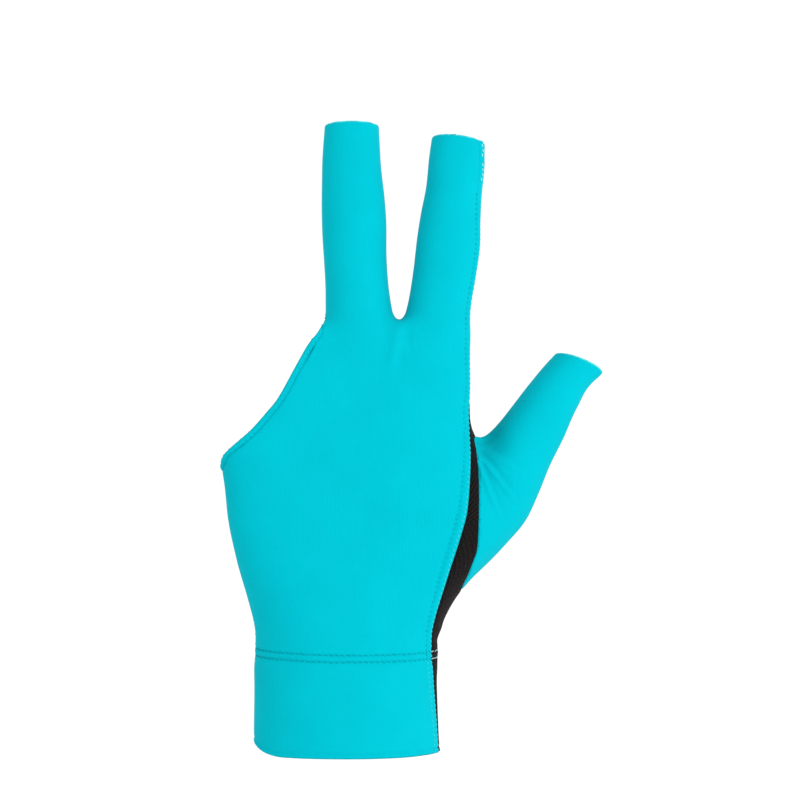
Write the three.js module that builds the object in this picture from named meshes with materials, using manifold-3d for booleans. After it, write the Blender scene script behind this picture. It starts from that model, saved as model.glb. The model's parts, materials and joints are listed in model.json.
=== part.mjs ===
// A three-finger billiard glove for the left hand, in millimetres. Thumb, index and middle finger have
// open-ended stalls, and the ring and little finger come out through one slanted side opening.
// +Z runs from the wrist to the fingertips, +X to the thumb side, and -Y faces the back of the hand.
// The origin is the centre of the wrist opening. The cloth is modelled as the hand fills it.
import * as THREE from 'three';
import { mergeVertices } from 'three/addons/utils/BufferGeometryUtils.js';
import Module from 'manifold-3d';

const wasm = await Module();
wasm.setup();

// Cuff and palm
const cuffHeight = 32;
const cuffWidth = 60.6;
const cuffDepth = 39;
const palmLength = 111; // from the top of the cuff to the web between index and middle finger
const palmWidth = 85.5;
const palmDepth = 29;
const palmTopRound = 7;
const belowWrist = 30; // the form runs this far past the wrist opening before it is cut off

// Index and middle stall, each measured from that web to its open tip
const middleLength = 65.7;
const middleWidth = 21.5;
const middleDepth = 19;
const middleLean = -2.1; // degrees towards the thumb side
const middleTipSlant = 2.1; // degrees between the open tip and a square cut
const indexLength = 61.1;
const indexWidth = 21.5;
const indexDepth = 19;
const indexLean = 6.6;
const indexTipSlant = 0.9;
const fingerGap = 5.2; // between the two stalls at the web
const fingerSetBack = -2.5; // depth of the stalls' centres at the web
const fingerCurl = 6; // how far the tips bend towards the palm
const fingerTipBend = 11; // degrees that the open tips face towards the palm

// Thumb stall, measured from a root inside the heel of the hand to its open tip
const thumbLength = 107.5;
const thumbWidth = 21;
const thumbDepth = 20;
const thumbLean = 30.4;
const thumbSetBack = 4;
const thumbCurl = 5;
const thumbTipBend = 16;
const thumbTipSlant = -7.5;
const thumbRootInset = 7.3; // from the cuff's thumb side
const thumbRootRise = 5.1; // above the cuff

// Roundness where one form runs into another
const webBlend = 2.5;
const fingerBlend = 5;
const thumbBlend = 13;

// Cloth
const clothThickness = 1.2;
const foldThickness = 1.8; // cuff and binding, where the cloth is double
const foldStep = 0.3; // how far the double cloth stands out from the single
const bindingWidth = 2;
const seamGap = 0.3; // between two panels that are sewn edge to edge
const seamDepth = 1; // depth of the seam on the little-finger side and between the stalls
const seamLift = 5; // how much further forward the seam on the thumb side runs

// Mesh fineness
const gridStep = 4.9;
const gridStepLong = 7;
const gridStepCuff = 13;
const gridStepWeb = 2;

// A table with named columns, read as a smooth curve through its rows.
function table(names, ...rows) {
  const at = rows.map((row) => row[0]);
  const last = rows.length - 1;
  const pace = (column, i) => (rows[i + 1][column] - rows[i][column]) / (at[i + 1] - at[i]);
  const slope = (column, i) => {
    if (i === 0) return pace(column, 0);
    if (i === last) return pace(column, last - 1);
    const before = at[i] - at[i - 1];
    const after = at[i + 1] - at[i];
    return (pace(column, i - 1) * after + pace(column, i) * before) / (before + after);
  };
  const slopes = rows.map((row, i) => row.map((value, column) => (column ? slope(column, i) : 1)));
  return { names, rows, slopes, at };
}

function readTable({ names, rows, slopes, at }, along) {
  const place = Math.min(Math.max(along, at[0]), at[at.length - 1]);
  let i = 0;
  while (i < at.length - 2 && place > at[i + 1]) i += 1;
  const span = at[i + 1] - at[i];
  const t = (place - at[i]) / span;
  const start = (1 + 2 * t) * (1 - t) * (1 - t);
  const leave = t * (1 - t) * (1 - t) * span;
  const arrive = t * t * (t - 1) * span;
  const result = {};
  names.forEach((name, column) => {
    const [from, to] = [rows[i][column], rows[i + 1][column]];
    const bends = leave * slopes[i][column] + arrive * slopes[i + 1][column];
    result[name] = start * from + (1 - start) * to + bends;
  });
  return result;
}

// Palm sections from the top of the cuff (0) to the web (1). Each size is 0 at the cuff's half size
// and 1 at the palm's half size. Squareness 2 is an ellipse.
const palmSections = table(
  ['along', 'little', 'thumb', 'back', 'palm', 'squareness'],
  [0.00, 0.00, -0.03, 0.00, 0.00, 2.2],
  [0.07, 0.00, -0.18, 0.25, 0.20, 2.2],
  [0.17, 0.20, -0.04, 0.45, 0.05, 2.3],
  [0.29, 0.50, 0.38, 0.60, 0.05, 2.4],
  [0.41, 0.72, 0.78, 0.72, 0.35, 2.5],
  [0.53, 0.86, 0.86, 0.82, 0.75, 2.6],
  [0.68, 1.07, 0.87, 0.92, 1.20, 2.6],
  [0.84, 1.13, 0.86, 1.05, 1.50, 2.5],
  [1.00, 1.10, 0.90, 1.55, 2.00, 2.4],
);

// Stall sections along each axis: edges as shares of the stall's width, depths as shares of its depth.
const stallColumns = ['along', 'little', 'thumb', 'back', 'palm'];
const middleSections = table(
  stallColumns,
  [-0.45, -0.38, 0.38, 0.30, 0.30],
  [0.00, -0.500, 0.495, 0.50, 0.52],
  [0.16, -0.484, 0.490, 0.50, 0.51],
  [0.30, -0.490, 0.474, 0.49, 0.50],
  [0.48, -0.508, 0.492, 0.50, 0.50],
  [0.64, -0.494, 0.474, 0.47, 0.48],
  [0.80, -0.468, 0.442, 0.44, 0.46],
  [0.92, -0.440, 0.430, 0.42, 0.44],
  [1.00, -0.415, 0.430, 0.41, 0.43],
  [1.15, -0.400, 0.410, 0.40, 0.42],
);
const indexSections = table(
  stallColumns,
  [-0.55, -0.38, 0.42, 0.30, 0.30],
  [0.00, -0.515, 0.500, 0.50, 0.52],
  [0.10, -0.505, 0.500, 0.50, 0.51],
  [0.26, -0.490, 0.513, 0.50, 0.50],
  [0.42, -0.480, 0.510, 0.50, 0.50],
  [0.58, -0.460, 0.472, 0.47, 0.48],
  [0.72, -0.432, 0.442, 0.45, 0.46],
  [0.88, -0.435, 0.436, 0.43, 0.44],
  [1.00, -0.425, 0.405, 0.41, 0.43],
  [1.15, -0.410, 0.390, 0.40, 0.42],
);
const thumbSections = table(
  stallColumns,
  [0.00, -0.50, 0.10, 0.45, 0.55],
  [0.10, -0.56, 0.15, 0.60, 0.75],
  [0.20, -0.60, 0.22, 0.66, 0.85],
  [0.30, -0.62, 0.37, 0.68, 0.88],
  [0.40, -0.62, 0.50, 0.66, 0.84],
  [0.49, -0.62, 0.575, 0.62, 0.74],
  [0.58, -0.62, 0.535, 0.57, 0.62],
  [0.68, -0.59, 0.465, 0.52, 0.54],
  [0.78, -0.530, 0.430, 0.50, 0.50],
  [0.88, -0.460, 0.375, 0.45, 0.46],
  [0.94, -0.410, 0.365, 0.42, 0.44],
  [1.00, -0.345, 0.425, 0.40, 0.42],
  [1.12, -0.300, 0.480, 0.38, 0.40],
);

// Places that follow from the sizes
const webHeight = cuffHeight + palmLength;
const cuffHalf = cuffWidth / 2;
const palmHalf = palmWidth / 2;
const acrossPalm = (share) => cuffHalf + (palmHalf - cuffHalf) * share;
const depthInPalm = (share) => (cuffDepth + (palmDepth - cuffDepth) * share) / 2;
const upPalm = (share) => cuffHeight + palmLength * share;
const topSection = readTable(palmSections, 1);
const indexX = acrossPalm(topSection.thumb) - indexWidth / 2;
const middleX = indexX - (indexWidth + middleWidth) / 2 - fingerGap;
const webX = indexX - (indexWidth + fingerGap) / 2;

const middle = {
  x: middleX, y: fingerSetBack, z: webHeight, lean: middleLean, length: middleLength,
  width: middleWidth, depth: middleDepth, curl: fingerCurl, sections: middleSections,
  tipSlant: middleTipSlant, tipBend: fingerTipBend,
};
const index = {
  x: indexX, y: fingerSetBack, z: webHeight, lean: indexLean, length: indexLength,
  width: indexWidth, depth: indexDepth, curl: fingerCurl, sections: indexSections,
  tipSlant: indexTipSlant, tipBend: fingerTipBend,
};
const thumb = {
  x: cuffHalf - thumbRootInset, y: thumbSetBack, z: cuffHeight + thumbRootRise, lean: thumbLean,
  length: thumbLength, width: thumbWidth, depth: thumbDepth, curl: thumbCurl, sections: thumbSections,
  tipSlant: thumbTipSlant, tipBend: thumbTipBend,
};
const stallSquareness = 2.15;
const rootRound = 6;
const tipRound = 3;

// Two distances joined with a rounded corner of that size, as a hollow (blend) or an edge (trim).
function blend(a, b, size) {
  const share = Math.max(size - Math.abs(a - b), 0) / size;
  return Math.min(a, b) - (share * share * size) / 4;
}
const trim = (a, b, size) => -blend(-a, -b, size);

// Roughly how far a point of a section's plane lies outside its rounded outline.
function outsideSection(u, v, low, high, front, rear, squareness) {
  const halfWidth = (high - low) / 2;
  const halfDepth = (front + rear) / 2;
  const across = Math.abs(u - (low + high) / 2);
  const deep = Math.abs(v - (rear - front) / 2);
  const sum = (across / halfWidth) ** squareness + (deep / halfDepth) ** squareness;
  const reach = Math.max(sum, 1e-6) ** (1 / squareness);
  return (1 - 1 / Math.max(reach, 0.2)) * Math.max(Math.hypot(across, deep), halfDepth * 0.2);
}

function palmField(x, y, z) {
  const section = readTable(palmSections, (z - cuffHeight) / palmLength);
  const side = outsideSection(
    x, y, -acrossPalm(section.little), acrossPalm(section.thumb),
    depthInPalm(section.back), depthInPalm(section.palm), section.squareness,
  );
  return trim(trim(side, z - webHeight, palmTopRound), -z - belowWrist, 1);
}

function stallField(stall, x, y, z) {
  const lean = THREE.MathUtils.degToRad(stall.lean);
  const dx = x - stall.x;
  const dz = z - stall.z;
  const across = dx * Math.cos(lean) - dz * Math.sin(lean);
  const up = dx * Math.sin(lean) + dz * Math.cos(lean);
  const along = up / stall.length;
  const section = readTable(stall.sections, along);
  const side = outsideSection(
    across, y - stall.y - stall.curl * Math.max(along, 0) ** 2,
    section.little * stall.width, section.thumb * stall.width,
    section.back * stall.depth, section.palm * stall.depth, stallSquareness,
  );
  const { at } = stall.sections;
  const capped = trim(side, up - at[at.length - 1] * stall.length, tipRound);
  return trim(capped, at[0] * stall.length - up, rootRound);
}

// Negative inside the worn glove, positive outside, and about the distance in millimetres near it.
function gloveField(x, y, z) {
  const fingers = blend(stallField(middle, x, y, z), stallField(index, x, y, z), webBlend);
  const hand = blend(palmField(x, y, z), fingers, fingerBlend);
  return blend(hand, stallField(thumb, x, y, z), thumbBlend);
}

function slopeOfField(point) {
  const step = 0.02;
  const slope = new THREE.Vector3();
  ['x', 'y', 'z'].forEach((axis) => {
    const [before, after] = [point.clone(), point.clone()];
    before[axis] -= step;
    after[axis] += step;
    slope[axis] = (gloveField(...after) - gloveField(...before)) / (2 * step);
  });
  return slope;
}

// Grid lines from a place on through stretches that each have an end and a step.
function gridLines(from, ...stretches) {
  const lines = [from];
  stretches.forEach(([until, step]) => {
    while (lines[lines.length - 1] < until) lines.push(lines[lines.length - 1] + step);
  });
  return lines;
}

const meanOf = (points) =>
  points.reduce((sum, point) => sum.add(point), new THREE.Vector3()).divideScalar(points.length);

// Where the corners of a grid square are in and out crosswise, the surface would touch itself, so the
// outer corner that is nearer to the form is taken in.
function uncross(values, count, everyPlace) {
  const strides = [1, count[0], count[0] * count[1]];
  let crossed = true;
  const mend = (first, a, b) => {
    const ring = [first, first + a, first + a + b, first + b];
    const inside = ring.map((n) => values[n] < 0);
    if (inside[0] !== inside[2] || inside[1] !== inside[3] || inside[0] === inside[1]) return;
    const outer = ring.filter((n) => values[n] >= 0);
    values[values[outer[0]] < values[outer[1]] ? outer[0] : outer[1]] = -1e-6;
    crossed = true;
  };
  while (crossed) {
    crossed = false;
    everyPlace(1, (i, j, k) => {
      const first = i + j * strides[1] + k * strides[2];
      strides.forEach((stride, axis) => mend(first, stride, strides[(axis + 1) % 3]));
    });
  }
}

// The surface where the field is zero: a point in each grid cell that it crosses, and a ring of four
// of them round each grid edge that it crosses.
function surfaceOfField(lines) {
  const count = lines.map((line) => line.length);
  const number = (i, j, k) => (k * count[1] + j) * count[0] + i;
  const values = new Float64Array(count[0] * count[1] * count[2]);
  const everyPlace = (short, visit) => {
    for (let k = 0; k < count[2] - short; k += 1)
      for (let j = 0; j < count[1] - short; j += 1)
        for (let i = 0; i < count[0] - short; i += 1) visit(i, j, k);
  };
  everyPlace(0, (i, j, k) => {
    values[number(i, j, k)] = gloveField(lines[0][i], lines[1][j], lines[2][k]);
  });

  uncross(values, count, everyPlace);

  const corners = [0, 1, 2, 3, 4, 5, 6, 7].map((c) => [c & 1, (c >> 1) & 1, (c >> 2) & 1]);
  const edges = corners.flatMap((a, n) =>
    [1, 2, 4].filter((bit) => !(n & bit)).map((bit) => [a, corners[n | bit]]));
  const placeOf = (i, j, k) => new THREE.Vector3(lines[0][i], lines[1][j], lines[2][k]);
  const points = [];
  const cellPoint = new Map();
  everyPlace(1, (i, j, k) => {
    const crossings = edges
      .map((edge) => edge.map(([a, b, c]) => [i + a, j + b, k + c]))
      .filter(([a, b]) => values[number(...a)] < 0 !== values[number(...b)] < 0)
      .map(([a, b]) => {
        const [low, high] = [values[number(...a)], values[number(...b)]];
        return placeOf(...a).lerp(placeOf(...b), low / (low - high));
      });
    if (!crossings.length) return;
    cellPoint.set(number(i, j, k), points.length);
    points.push(meanOf(crossings));
  });

  const quads = [];
  everyPlace(1, (i, j, k) => {
    [[1, 0, 0], [0, 1, 0], [0, 0, 1]].forEach((step, axis) => {
      const here = [i, j, k];
      const [second, third] = [(axis + 1) % 3, (axis + 2) % 3];
      if (here[second] === 0 || here[third] === 0) return;
      const inside = values[number(i, j, k)] < 0;
      if (inside === values[number(i + step[0], j + step[1], k + step[2])] < 0) return;
      const cell = (backSecond, backThird) => {
        const place = [...here];
        place[second] -= backSecond;
        place[third] -= backThird;
        return cellPoint.get(number(...place));
      };
      const ring = [cell(1, 1), cell(0, 1), cell(0, 0), cell(1, 0)];
      quads.push(inside ? ring : ring.reverse());
    });
  });
  return { points, quads };
}

// Spreads the points evenly by moving each towards the mean of those round it, and puts them back on
// the exact form each time.
function evenOut(points, quads) {
  const around = points.map(() => new Set());
  quads.forEach((ring) => ring.forEach((corner, n) => {
    around[corner].add(ring[(n + 1) % 4]).add(ring[(n + 3) % 4]);
  }));
  for (let turn = 0; turn < 6; turn += 1) {
    const means = around.map((near) => meanOf([...near].map((n) => points[n])));
    points.forEach((point, i) => {
      point.lerp(means[i], 0.5);
      const slope = slopeOfField(point);
      point.addScaledVector(slope, -gloveField(...point) / slope.lengthSq());
    });
  }
}

// The glove's outer surface as points and triangles, with the outward direction at each point.
function gloveSurface() {
  const reach = 8;
  const tipX = thumb.x + Math.sin(THREE.MathUtils.degToRad(thumb.lean)) * thumb.length * 1.12;
  const topZ = webHeight + Math.max(middle.length, index.length) * 1.15;
  const { points, quads } = surfaceOfField([
    gridLines(-acrossPalm(1.2) - reach, [webX - fingerGap, gridStep],
      [webX + fingerGap, gridStepWeb], [tipX + thumb.width + reach, gridStep]),
    gridLines(-cuffDepth / 2 - reach, [cuffDepth / 2 + fingerCurl + reach, gridStep]),
    gridLines(-belowWrist - reach, [cuffHeight - gridStep, gridStepCuff],
      [webHeight - fingerGap, gridStepLong], [webHeight + fingerGap, gridStepWeb],
      [topZ + reach, gridStepLong]),
  ]);
  evenOut(points, quads);
  const triangles = quads.flatMap(([a, b, c, d]) => {
    const shortFirst = points[a].distanceTo(points[c]) < points[b].distanceTo(points[d]);
    return shortFirst ? [a, b, c, a, c, d] : [a, b, d, b, c, d];
  });
  return { points, triangles, normals: points.map((point) => slopeOfField(point).normalize()) };
}

function solidOf(geometry) {
  const bare = geometry.clone();
  bare.deleteAttribute('normal');
  bare.deleteAttribute('uv');
  const merged = mergeVertices(bare, 1e-4);
  return new wasm.Manifold(new wasm.Mesh({
    numProp: 3,
    vertProperties: merged.attributes.position.array,
    triVerts: new Uint32Array(merged.index.array),
  }));
}

// The glove's form grown outwards (or shrunk, if negative) by that much, as one closed solid.
function grownGlove({ points, triangles, normals }, growth) {
  const vertProperties = new Float32Array(points.length * 3);
  points.forEach((point, i) => {
    point.clone().addScaledVector(normals[i], growth).toArray(vertProperties, i * 3);
  });
  const triVerts = new Uint32Array(triangles);
  return new wasm.Manifold(new wasm.Mesh({ numProp: 3, vertProperties, triVerts }));
}

const farAway = 300;

// A solid with that outline in X and Z, running right through the glove along Y.
function throughSolid(outline) {
  const shape = new THREE.Shape(outline);
  const geometry = new THREE.ExtrudeGeometry(shape, { depth: farAway, bevelEnabled: false });
  geometry.rotateX(Math.PI / 2).translate(0, farAway / 2, 0);
  return solidOf(geometry);
}

// A line moved sideways by that much, to the left as it is walked along.
function movedLine(line, distance) {
  return line.map((point, i) => {
    const before = line[Math.max(i - 1, 0)];
    const after = line[Math.min(i + 1, line.length - 1)];
    const ahead = after.clone().sub(before).normalize();
    return new THREE.Vector2(point.x - ahead.y * distance, point.y + ahead.x * distance);
  });
}

const smoothLine = (points, pieces) => new THREE.SplineCurve(points).getPoints(pieces);

// Edge of the side opening: across from the palm's little-finger side (0) to the middle stall (1), and
// up from where it leaves that side (0) to the web between middle and ring finger (1).
const openingEdge = [
  { across: -0.13, up: -0.15 },
  { across: 0.00, up: 0.00 },
  { across: 0.09, up: 0.11 },
  { across: 0.30, up: 0.245 },
  { across: 0.56, up: 0.51 },
  { across: 0.82, up: 0.785 },
  { across: 1.00, up: 1.00 },
];
const openingLowShare = 0.573;
const openingTopRise = 1.3; // above the web between index and middle stall

// The thumb-side seam of the back panel, walked from the wrist to the web of the thumb. Each place
// across is 0 at the cuff's half width and 1 at the palm's, and along runs up the palm.
const sideSeamEdge = [
  { along: -0.40, across: -0.05 },
  { along: -0.29, across: -0.07 },
  { along: -0.13, across: -0.11 },
  { along: 0.04, across: -0.17 },
  { along: 0.12, across: -0.06 },
  { along: 0.255, across: 0.30 },
  { along: 0.375, across: 0.63 },
  { along: 0.45, across: 0.79 },
  { along: 0.585, across: 0.88 },
  { along: 0.675, across: 0.88 },
  { along: 0.755, across: 0.90 },
  { along: 0.82, across: 1.10 },
];

// The seam of the thumb stall, walked from below the heel of the hand to the web of the thumb.
const thumbSeamEdge = [
  { along: 0.08, across: 0.62 },
  { along: 0.16, across: 0.63 },
  { along: 0.205, across: 0.70 },
  { along: 0.25, across: 0.87 },
  { along: 0.305, across: 1.04 },
  { along: 0.35, across: 1.09 },
  { along: 0.515, across: 1.12 },
  { along: 0.615, across: 1.07 },
  { along: 0.655, across: 1.05 },
  { along: 0.72, across: 1.35 },
];

// On the palm side the finger fronts end at this line, from the side opening (0) to the thumb side (1).
const frontSeamEdge = [
  { across: -0.30, along: 1.16 },
  { across: 0.00, along: 0.975 },
  { across: 0.20, along: 0.885 },
  { across: 0.55, along: 0.800 },
  { across: 0.90, along: 0.765 },
  { across: 1.20, along: 0.760 },
];

const palmPoint = ({ along, across }) => new THREE.Vector2(acrossPalm(across), upPalm(along));
const stallEdgeX = middleX + readTable(middleSections, 0).little * middleWidth;
const openingLowX = -acrossPalm(readTable(palmSections, openingLowShare).little);
const openingTop = webHeight + openingTopRise;

function openingLine(moved) {
  const points = openingEdge.map(({ across, up }) => new THREE.Vector2(
    openingLowX + (stallEdgeX - openingLowX) * across,
    upPalm(openingLowShare) + (openingTop - upPalm(openingLowShare)) * up,
  ));
  return movedLine(smoothLine(points, 18), -moved);
}

// Everything on the little-finger side of the opening's edge, with that edge moved into the cloth.
function openingCutter(moved) {
  const line = openingLine(moved);
  const end = line[line.length - 1];
  return throughSolid([
    new THREE.Vector2(-farAway, line[0].y - farAway / 4),
    ...line,
    new THREE.Vector2(end.x - farAway / 2, end.y + farAway),
    new THREE.Vector2(-farAway, farAway),
  ]);
}

function thumbCutter(grown) {
  const line = movedLine(smoothLine(thumbSeamEdge.map(palmPoint), 20), grown);
  const end = line[line.length - 1];
  return throughSolid([
    ...line,
    new THREE.Vector2(end.x + farAway / 6, end.y + farAway),
    new THREE.Vector2(farAway, farAway),
    new THREE.Vector2(farAway, -farAway),
    new THREE.Vector2(line[0].x, -farAway),
  ]);
}

function fingerFrontCutter(grown) {
  const thumbEdge = acrossPalm(topSection.thumb);
  const line = smoothLine(frontSeamEdge.map(({ across, along }) => new THREE.Vector2(
    stallEdgeX + (thumbEdge - stallEdgeX) * across, upPalm(along),
  )), 16);
  return throughSolid([
    ...movedLine(line, -grown),
    new THREE.Vector2(farAway, upPalm(frontSeamEdge[frontSeamEdge.length - 1].along) - grown),
    new THREE.Vector2(farAway, farAway),
    new THREE.Vector2(-farAway, farAway),
  ]);
}

// Depth of the seam between back and palm side at a place: it follows the curl of the stalls, and on
// the thumb side it lies further forward.
function seamDepthAt(x, z) {
  const rise = Math.max(z - webHeight, 0);
  const curl = fingerCurl * (rise / middleLength) ** 2;
  const indexAxis = indexX + Math.tan(THREE.MathUtils.degToRad(indexLean)) * rise;
  const forward = THREE.MathUtils.smoothstep(x, indexAxis - indexWidth / 4, indexAxis + indexWidth / 4);
  return seamDepth + curl - seamLift * forward;
}

// Everything in front of that seam, as a block whose rear face follows its depth.
function frontBlock(grown) {
  const columns = gridLines(-palmWidth, [palmWidth, palmWidth / 16]);
  const levels = gridLines(-cuffHeight, [webHeight + middleLength * 1.3, palmLength / 8]);
  const geometry = new THREE.BoxGeometry(1, 1, 1, columns.length - 1, 1, levels.length - 1);
  const place = geometry.attributes.position;
  for (let i = 0; i < place.count; i += 1) {
    const x = columns[Math.round((place.getX(i) + 0.5) * (columns.length - 1))];
    const z = levels[Math.round((place.getZ(i) + 0.5) * (levels.length - 1))];
    place.setXYZ(i, x, place.getY(i) > 0 ? seamDepthAt(x, z) + grown : -farAway / 2, z);
  }
  return solidOf(geometry);
}

function backCutter(grown) {
  const line = movedLine(smoothLine(sideSeamEdge.map(palmPoint), 26), -grown);
  const end = line[line.length - 1];
  const outline = throughSolid([
    ...line,
    new THREE.Vector2(farAway, end.y),
    new THREE.Vector2(farAway, farAway),
    new THREE.Vector2(-farAway, farAway),
    new THREE.Vector2(-farAway, line[0].y),
  ]);
  return outline.intersect(frontBlock(grown));
}

// Everything past a stall's open tip, cut square to its axis apart from the slant and the bend.
function tipCutter(stall) {
  const block = new THREE.BoxGeometry(stall.width * 2, farAway, farAway).translate(0, 0, farAway / 2);
  const [bend, slant, lean] = [stall.tipBend, stall.tipSlant, stall.lean].map(THREE.MathUtils.degToRad);
  block.rotateX(-bend).rotateY(slant);
  block.translate(0, stall.y + stall.curl, stall.length).rotateY(lean);
  return solidOf(block.translate(stall.x, 0, stall.z));
}

function levelCutter(from, to) {
  const block = new THREE.BoxGeometry(farAway, farAway, to - from);
  return solidOf(block.translate(0, 0, (from + to) / 2));
}

// A cut can leave crumbs beside a piece, so the piece is its largest body.
function mainBody(solid) {
  return solid.decompose().reduce((best, body) => (body.volume() > best.volume() ? body : best));
}

const surface = gloveSurface();
const single = grownGlove(surface, 0).subtract(grownGlove(surface, -clothThickness));
const double = grownGlove(surface, foldStep).subtract(grownGlove(surface, foldStep - foldThickness));

const tips = [middle, index, thumb].map(tipCutter);
const belowCloth = levelCutter(-farAway / 4, cuffHeight + seamGap);
const cloth = [openingCutter(bindingWidth + seamGap), belowCloth, ...tips]
  .reduce((solid, cutter) => solid.subtract(cutter), single);
const cuff = double.intersect(levelCutter(0, cuffHeight));
const binding = double.intersect(openingCutter(bindingWidth)).subtract(openingCutter(0));

const half = seamGap / 2;
const thumbStall = cloth.intersect(thumbCutter(-half));
const handCloth = cloth.subtract(thumbCutter(half));
const palmSide = handCloth.subtract(backCutter(half));

const stretchKnit = { color: 0x02ccdb, roughness: 0.75, metalness: 0 };
const palmMesh = { color: 0x1c1b1c, roughness: 0.85, metalness: 0 };

function piece(name, solid, finish) {
  const { vertProperties, triVerts } = mainBody(solid).getMesh();
  const geometry = new THREE.BufferGeometry();
  geometry.setAttribute('position', new THREE.BufferAttribute(vertProperties, 3));
  geometry.setIndex(new THREE.BufferAttribute(triVerts, 1));
  geometry.computeVertexNormals();
  const mesh = new THREE.Mesh(geometry, new THREE.MeshStandardMaterial(finish));
  mesh.name = name;
  return mesh;
}

const glove = new THREE.Group();
glove.add(
  piece('back_panel', handCloth.intersect(backCutter(-half)), stretchKnit),
  piece('finger_fronts', palmSide.intersect(fingerFrontCutter(-half)), stretchKnit),
  piece('palm_panel', palmSide.subtract(fingerFrontCutter(half)), palmMesh),
  piece('thumb_stall', thumbStall, stretchKnit),
  piece('cuff_back', cuff.intersect(backCutter(-half)), stretchKnit),
  piece('cuff_palm', cuff.subtract(backCutter(half)), palmMesh),
  piece('opening_binding', binding, stretchKnit),
);

export default glove;
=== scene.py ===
# Left billiard glove with three open-ended stalls, dressed in knit, mesh and thread.
# The cloth is shaped in millimetres and becomes a mesh in metres.
# +Z runs to the stalls' tips, +X to the thumb side, and the back panel faces -Y.
import json
import math
import bpy
import numpy as np
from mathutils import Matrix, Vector
from mathutils.kdtree import KDTree

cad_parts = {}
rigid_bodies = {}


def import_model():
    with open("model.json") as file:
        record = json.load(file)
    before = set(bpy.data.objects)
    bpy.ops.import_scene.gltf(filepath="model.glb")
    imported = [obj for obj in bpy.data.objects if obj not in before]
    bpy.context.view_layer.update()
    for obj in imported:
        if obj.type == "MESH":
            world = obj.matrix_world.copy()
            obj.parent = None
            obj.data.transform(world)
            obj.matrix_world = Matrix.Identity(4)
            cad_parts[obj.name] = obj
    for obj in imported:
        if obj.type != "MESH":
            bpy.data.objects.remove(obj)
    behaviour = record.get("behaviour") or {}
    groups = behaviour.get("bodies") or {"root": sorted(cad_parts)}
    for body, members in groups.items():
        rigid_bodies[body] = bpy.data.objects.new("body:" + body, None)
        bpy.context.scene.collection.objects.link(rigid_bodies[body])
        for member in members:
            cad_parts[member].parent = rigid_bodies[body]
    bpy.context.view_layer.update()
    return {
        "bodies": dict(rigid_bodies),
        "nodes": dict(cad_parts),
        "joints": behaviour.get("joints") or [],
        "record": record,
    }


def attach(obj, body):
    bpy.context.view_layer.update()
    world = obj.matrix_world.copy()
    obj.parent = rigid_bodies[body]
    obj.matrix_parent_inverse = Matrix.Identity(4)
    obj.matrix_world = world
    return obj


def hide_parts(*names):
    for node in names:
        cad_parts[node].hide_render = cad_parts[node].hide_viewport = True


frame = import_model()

scene = bpy.context.scene

# the form of the worn glove, in the same sizes as the CAD model
glove = {
    "cuffHeight": 32.0,
    "cuffWidth": 60.6,
    "cuffDepth": 39.0,
    "palmLength": 111.0,  # top of the cuff to the web between index and middle stall
    "palmWidth": 85.5,
    "palmDepth": 29.0,
    "palmTopRound": 7.0,
    "belowWrist": 30.0,  # the form runs on below the hem, which is cut into it
    "webBlend": 2.0,  # how far the forms melt into each other at their corners
    "fingerBlend": 3.9,
    "thumbBlend": 13.0,
    "stallSquareness": 2.15,
    "rootRound": 6.0,
    "tipRound": 3.0,
    "seamDepth": 1.0,  # depth of the seam on the outer side and between the stalls
    "seamLift": 5.0,  # how much further forward the seam on the thumb side runs
    "seamShift": 0.4,  # it lies this much further out than in the CAD model, as the cloth's edge is rounded
    "seamCorner": 4.0,
    "bindingWidth": 2.0,
    "bindingTop": (7.0, 0.8),  # it tapers off from here below the web to there above it
    "bindingLow": (1.0, 7.0),  # and narrows between these heights at its lower end
    "hemCorner": (10.0, 4.6),  # width and height of the hem's rounded corner
    "cuffRise": (0.025, -4.0),  # slope of the cuff's top towards the outer side, and where it starts
}


def smoothTable(rows):
    # rows of numbers, read as smooth curves over the first column
    rows = np.array(rows, float)
    gaps = np.diff(rows[:, 0])[:, None]
    pace = np.diff(rows, axis=0) / gaps
    slopes = np.empty_like(rows)
    slopes[0] = pace[0]
    slopes[-1] = pace[-1]
    slopes[1:-1] = (pace[:-1] * gaps[1:] + pace[1:] * gaps[:-1]) / (gaps[1:] + gaps[:-1])
    return rows, slopes


def readTable(smoothed, along):
    rows, slopes = smoothed
    at = rows[:, 0]
    place = np.clip(along, at[0], at[-1])
    i = np.clip(np.searchsorted(at, place, side="right") - 1, 0, len(at) - 2)
    span = at[i + 1] - at[i]
    t = (place - at[i]) / span
    start = (1 + 2 * t) * (1 - t) ** 2
    leave = t * (1 - t) ** 2 * span
    arrive = t * t * (t - 1) * span
    return [
        start * rows[i, c] + (1 - start) * rows[i + 1, c]
        + leave * slopes[i, c] + arrive * slopes[i + 1, c]
        for c in range(1, rows.shape[1])
    ]


# along, little, thumb, back, palm, squareness: 0 is the cuff's half size and 1 the palm's
palmSections = smoothTable([
    (0.00, 0.00, -0.03, 0.00, 0.00, 2.2),
    (0.07, 0.00, -0.18, 0.25, 0.20, 2.2),
    (0.17, 0.20, -0.04, 0.45, 0.05, 2.3),
    (0.29, 0.50, 0.38, 0.60, 0.05, 2.7),
    (0.41, 0.72, 0.78, 0.72, 0.35, 3.2),
    (0.53, 0.83, 0.86, 0.82, 0.75, 3.6),
    (0.68, 1.07, 0.88, 0.92, 1.20, 3.7),
    (0.84, 1.13, 0.865, 1.05, 1.50, 3.3),
    (1.00, 1.10, 0.80, 1.55, 2.00, 2.6),
])

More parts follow.
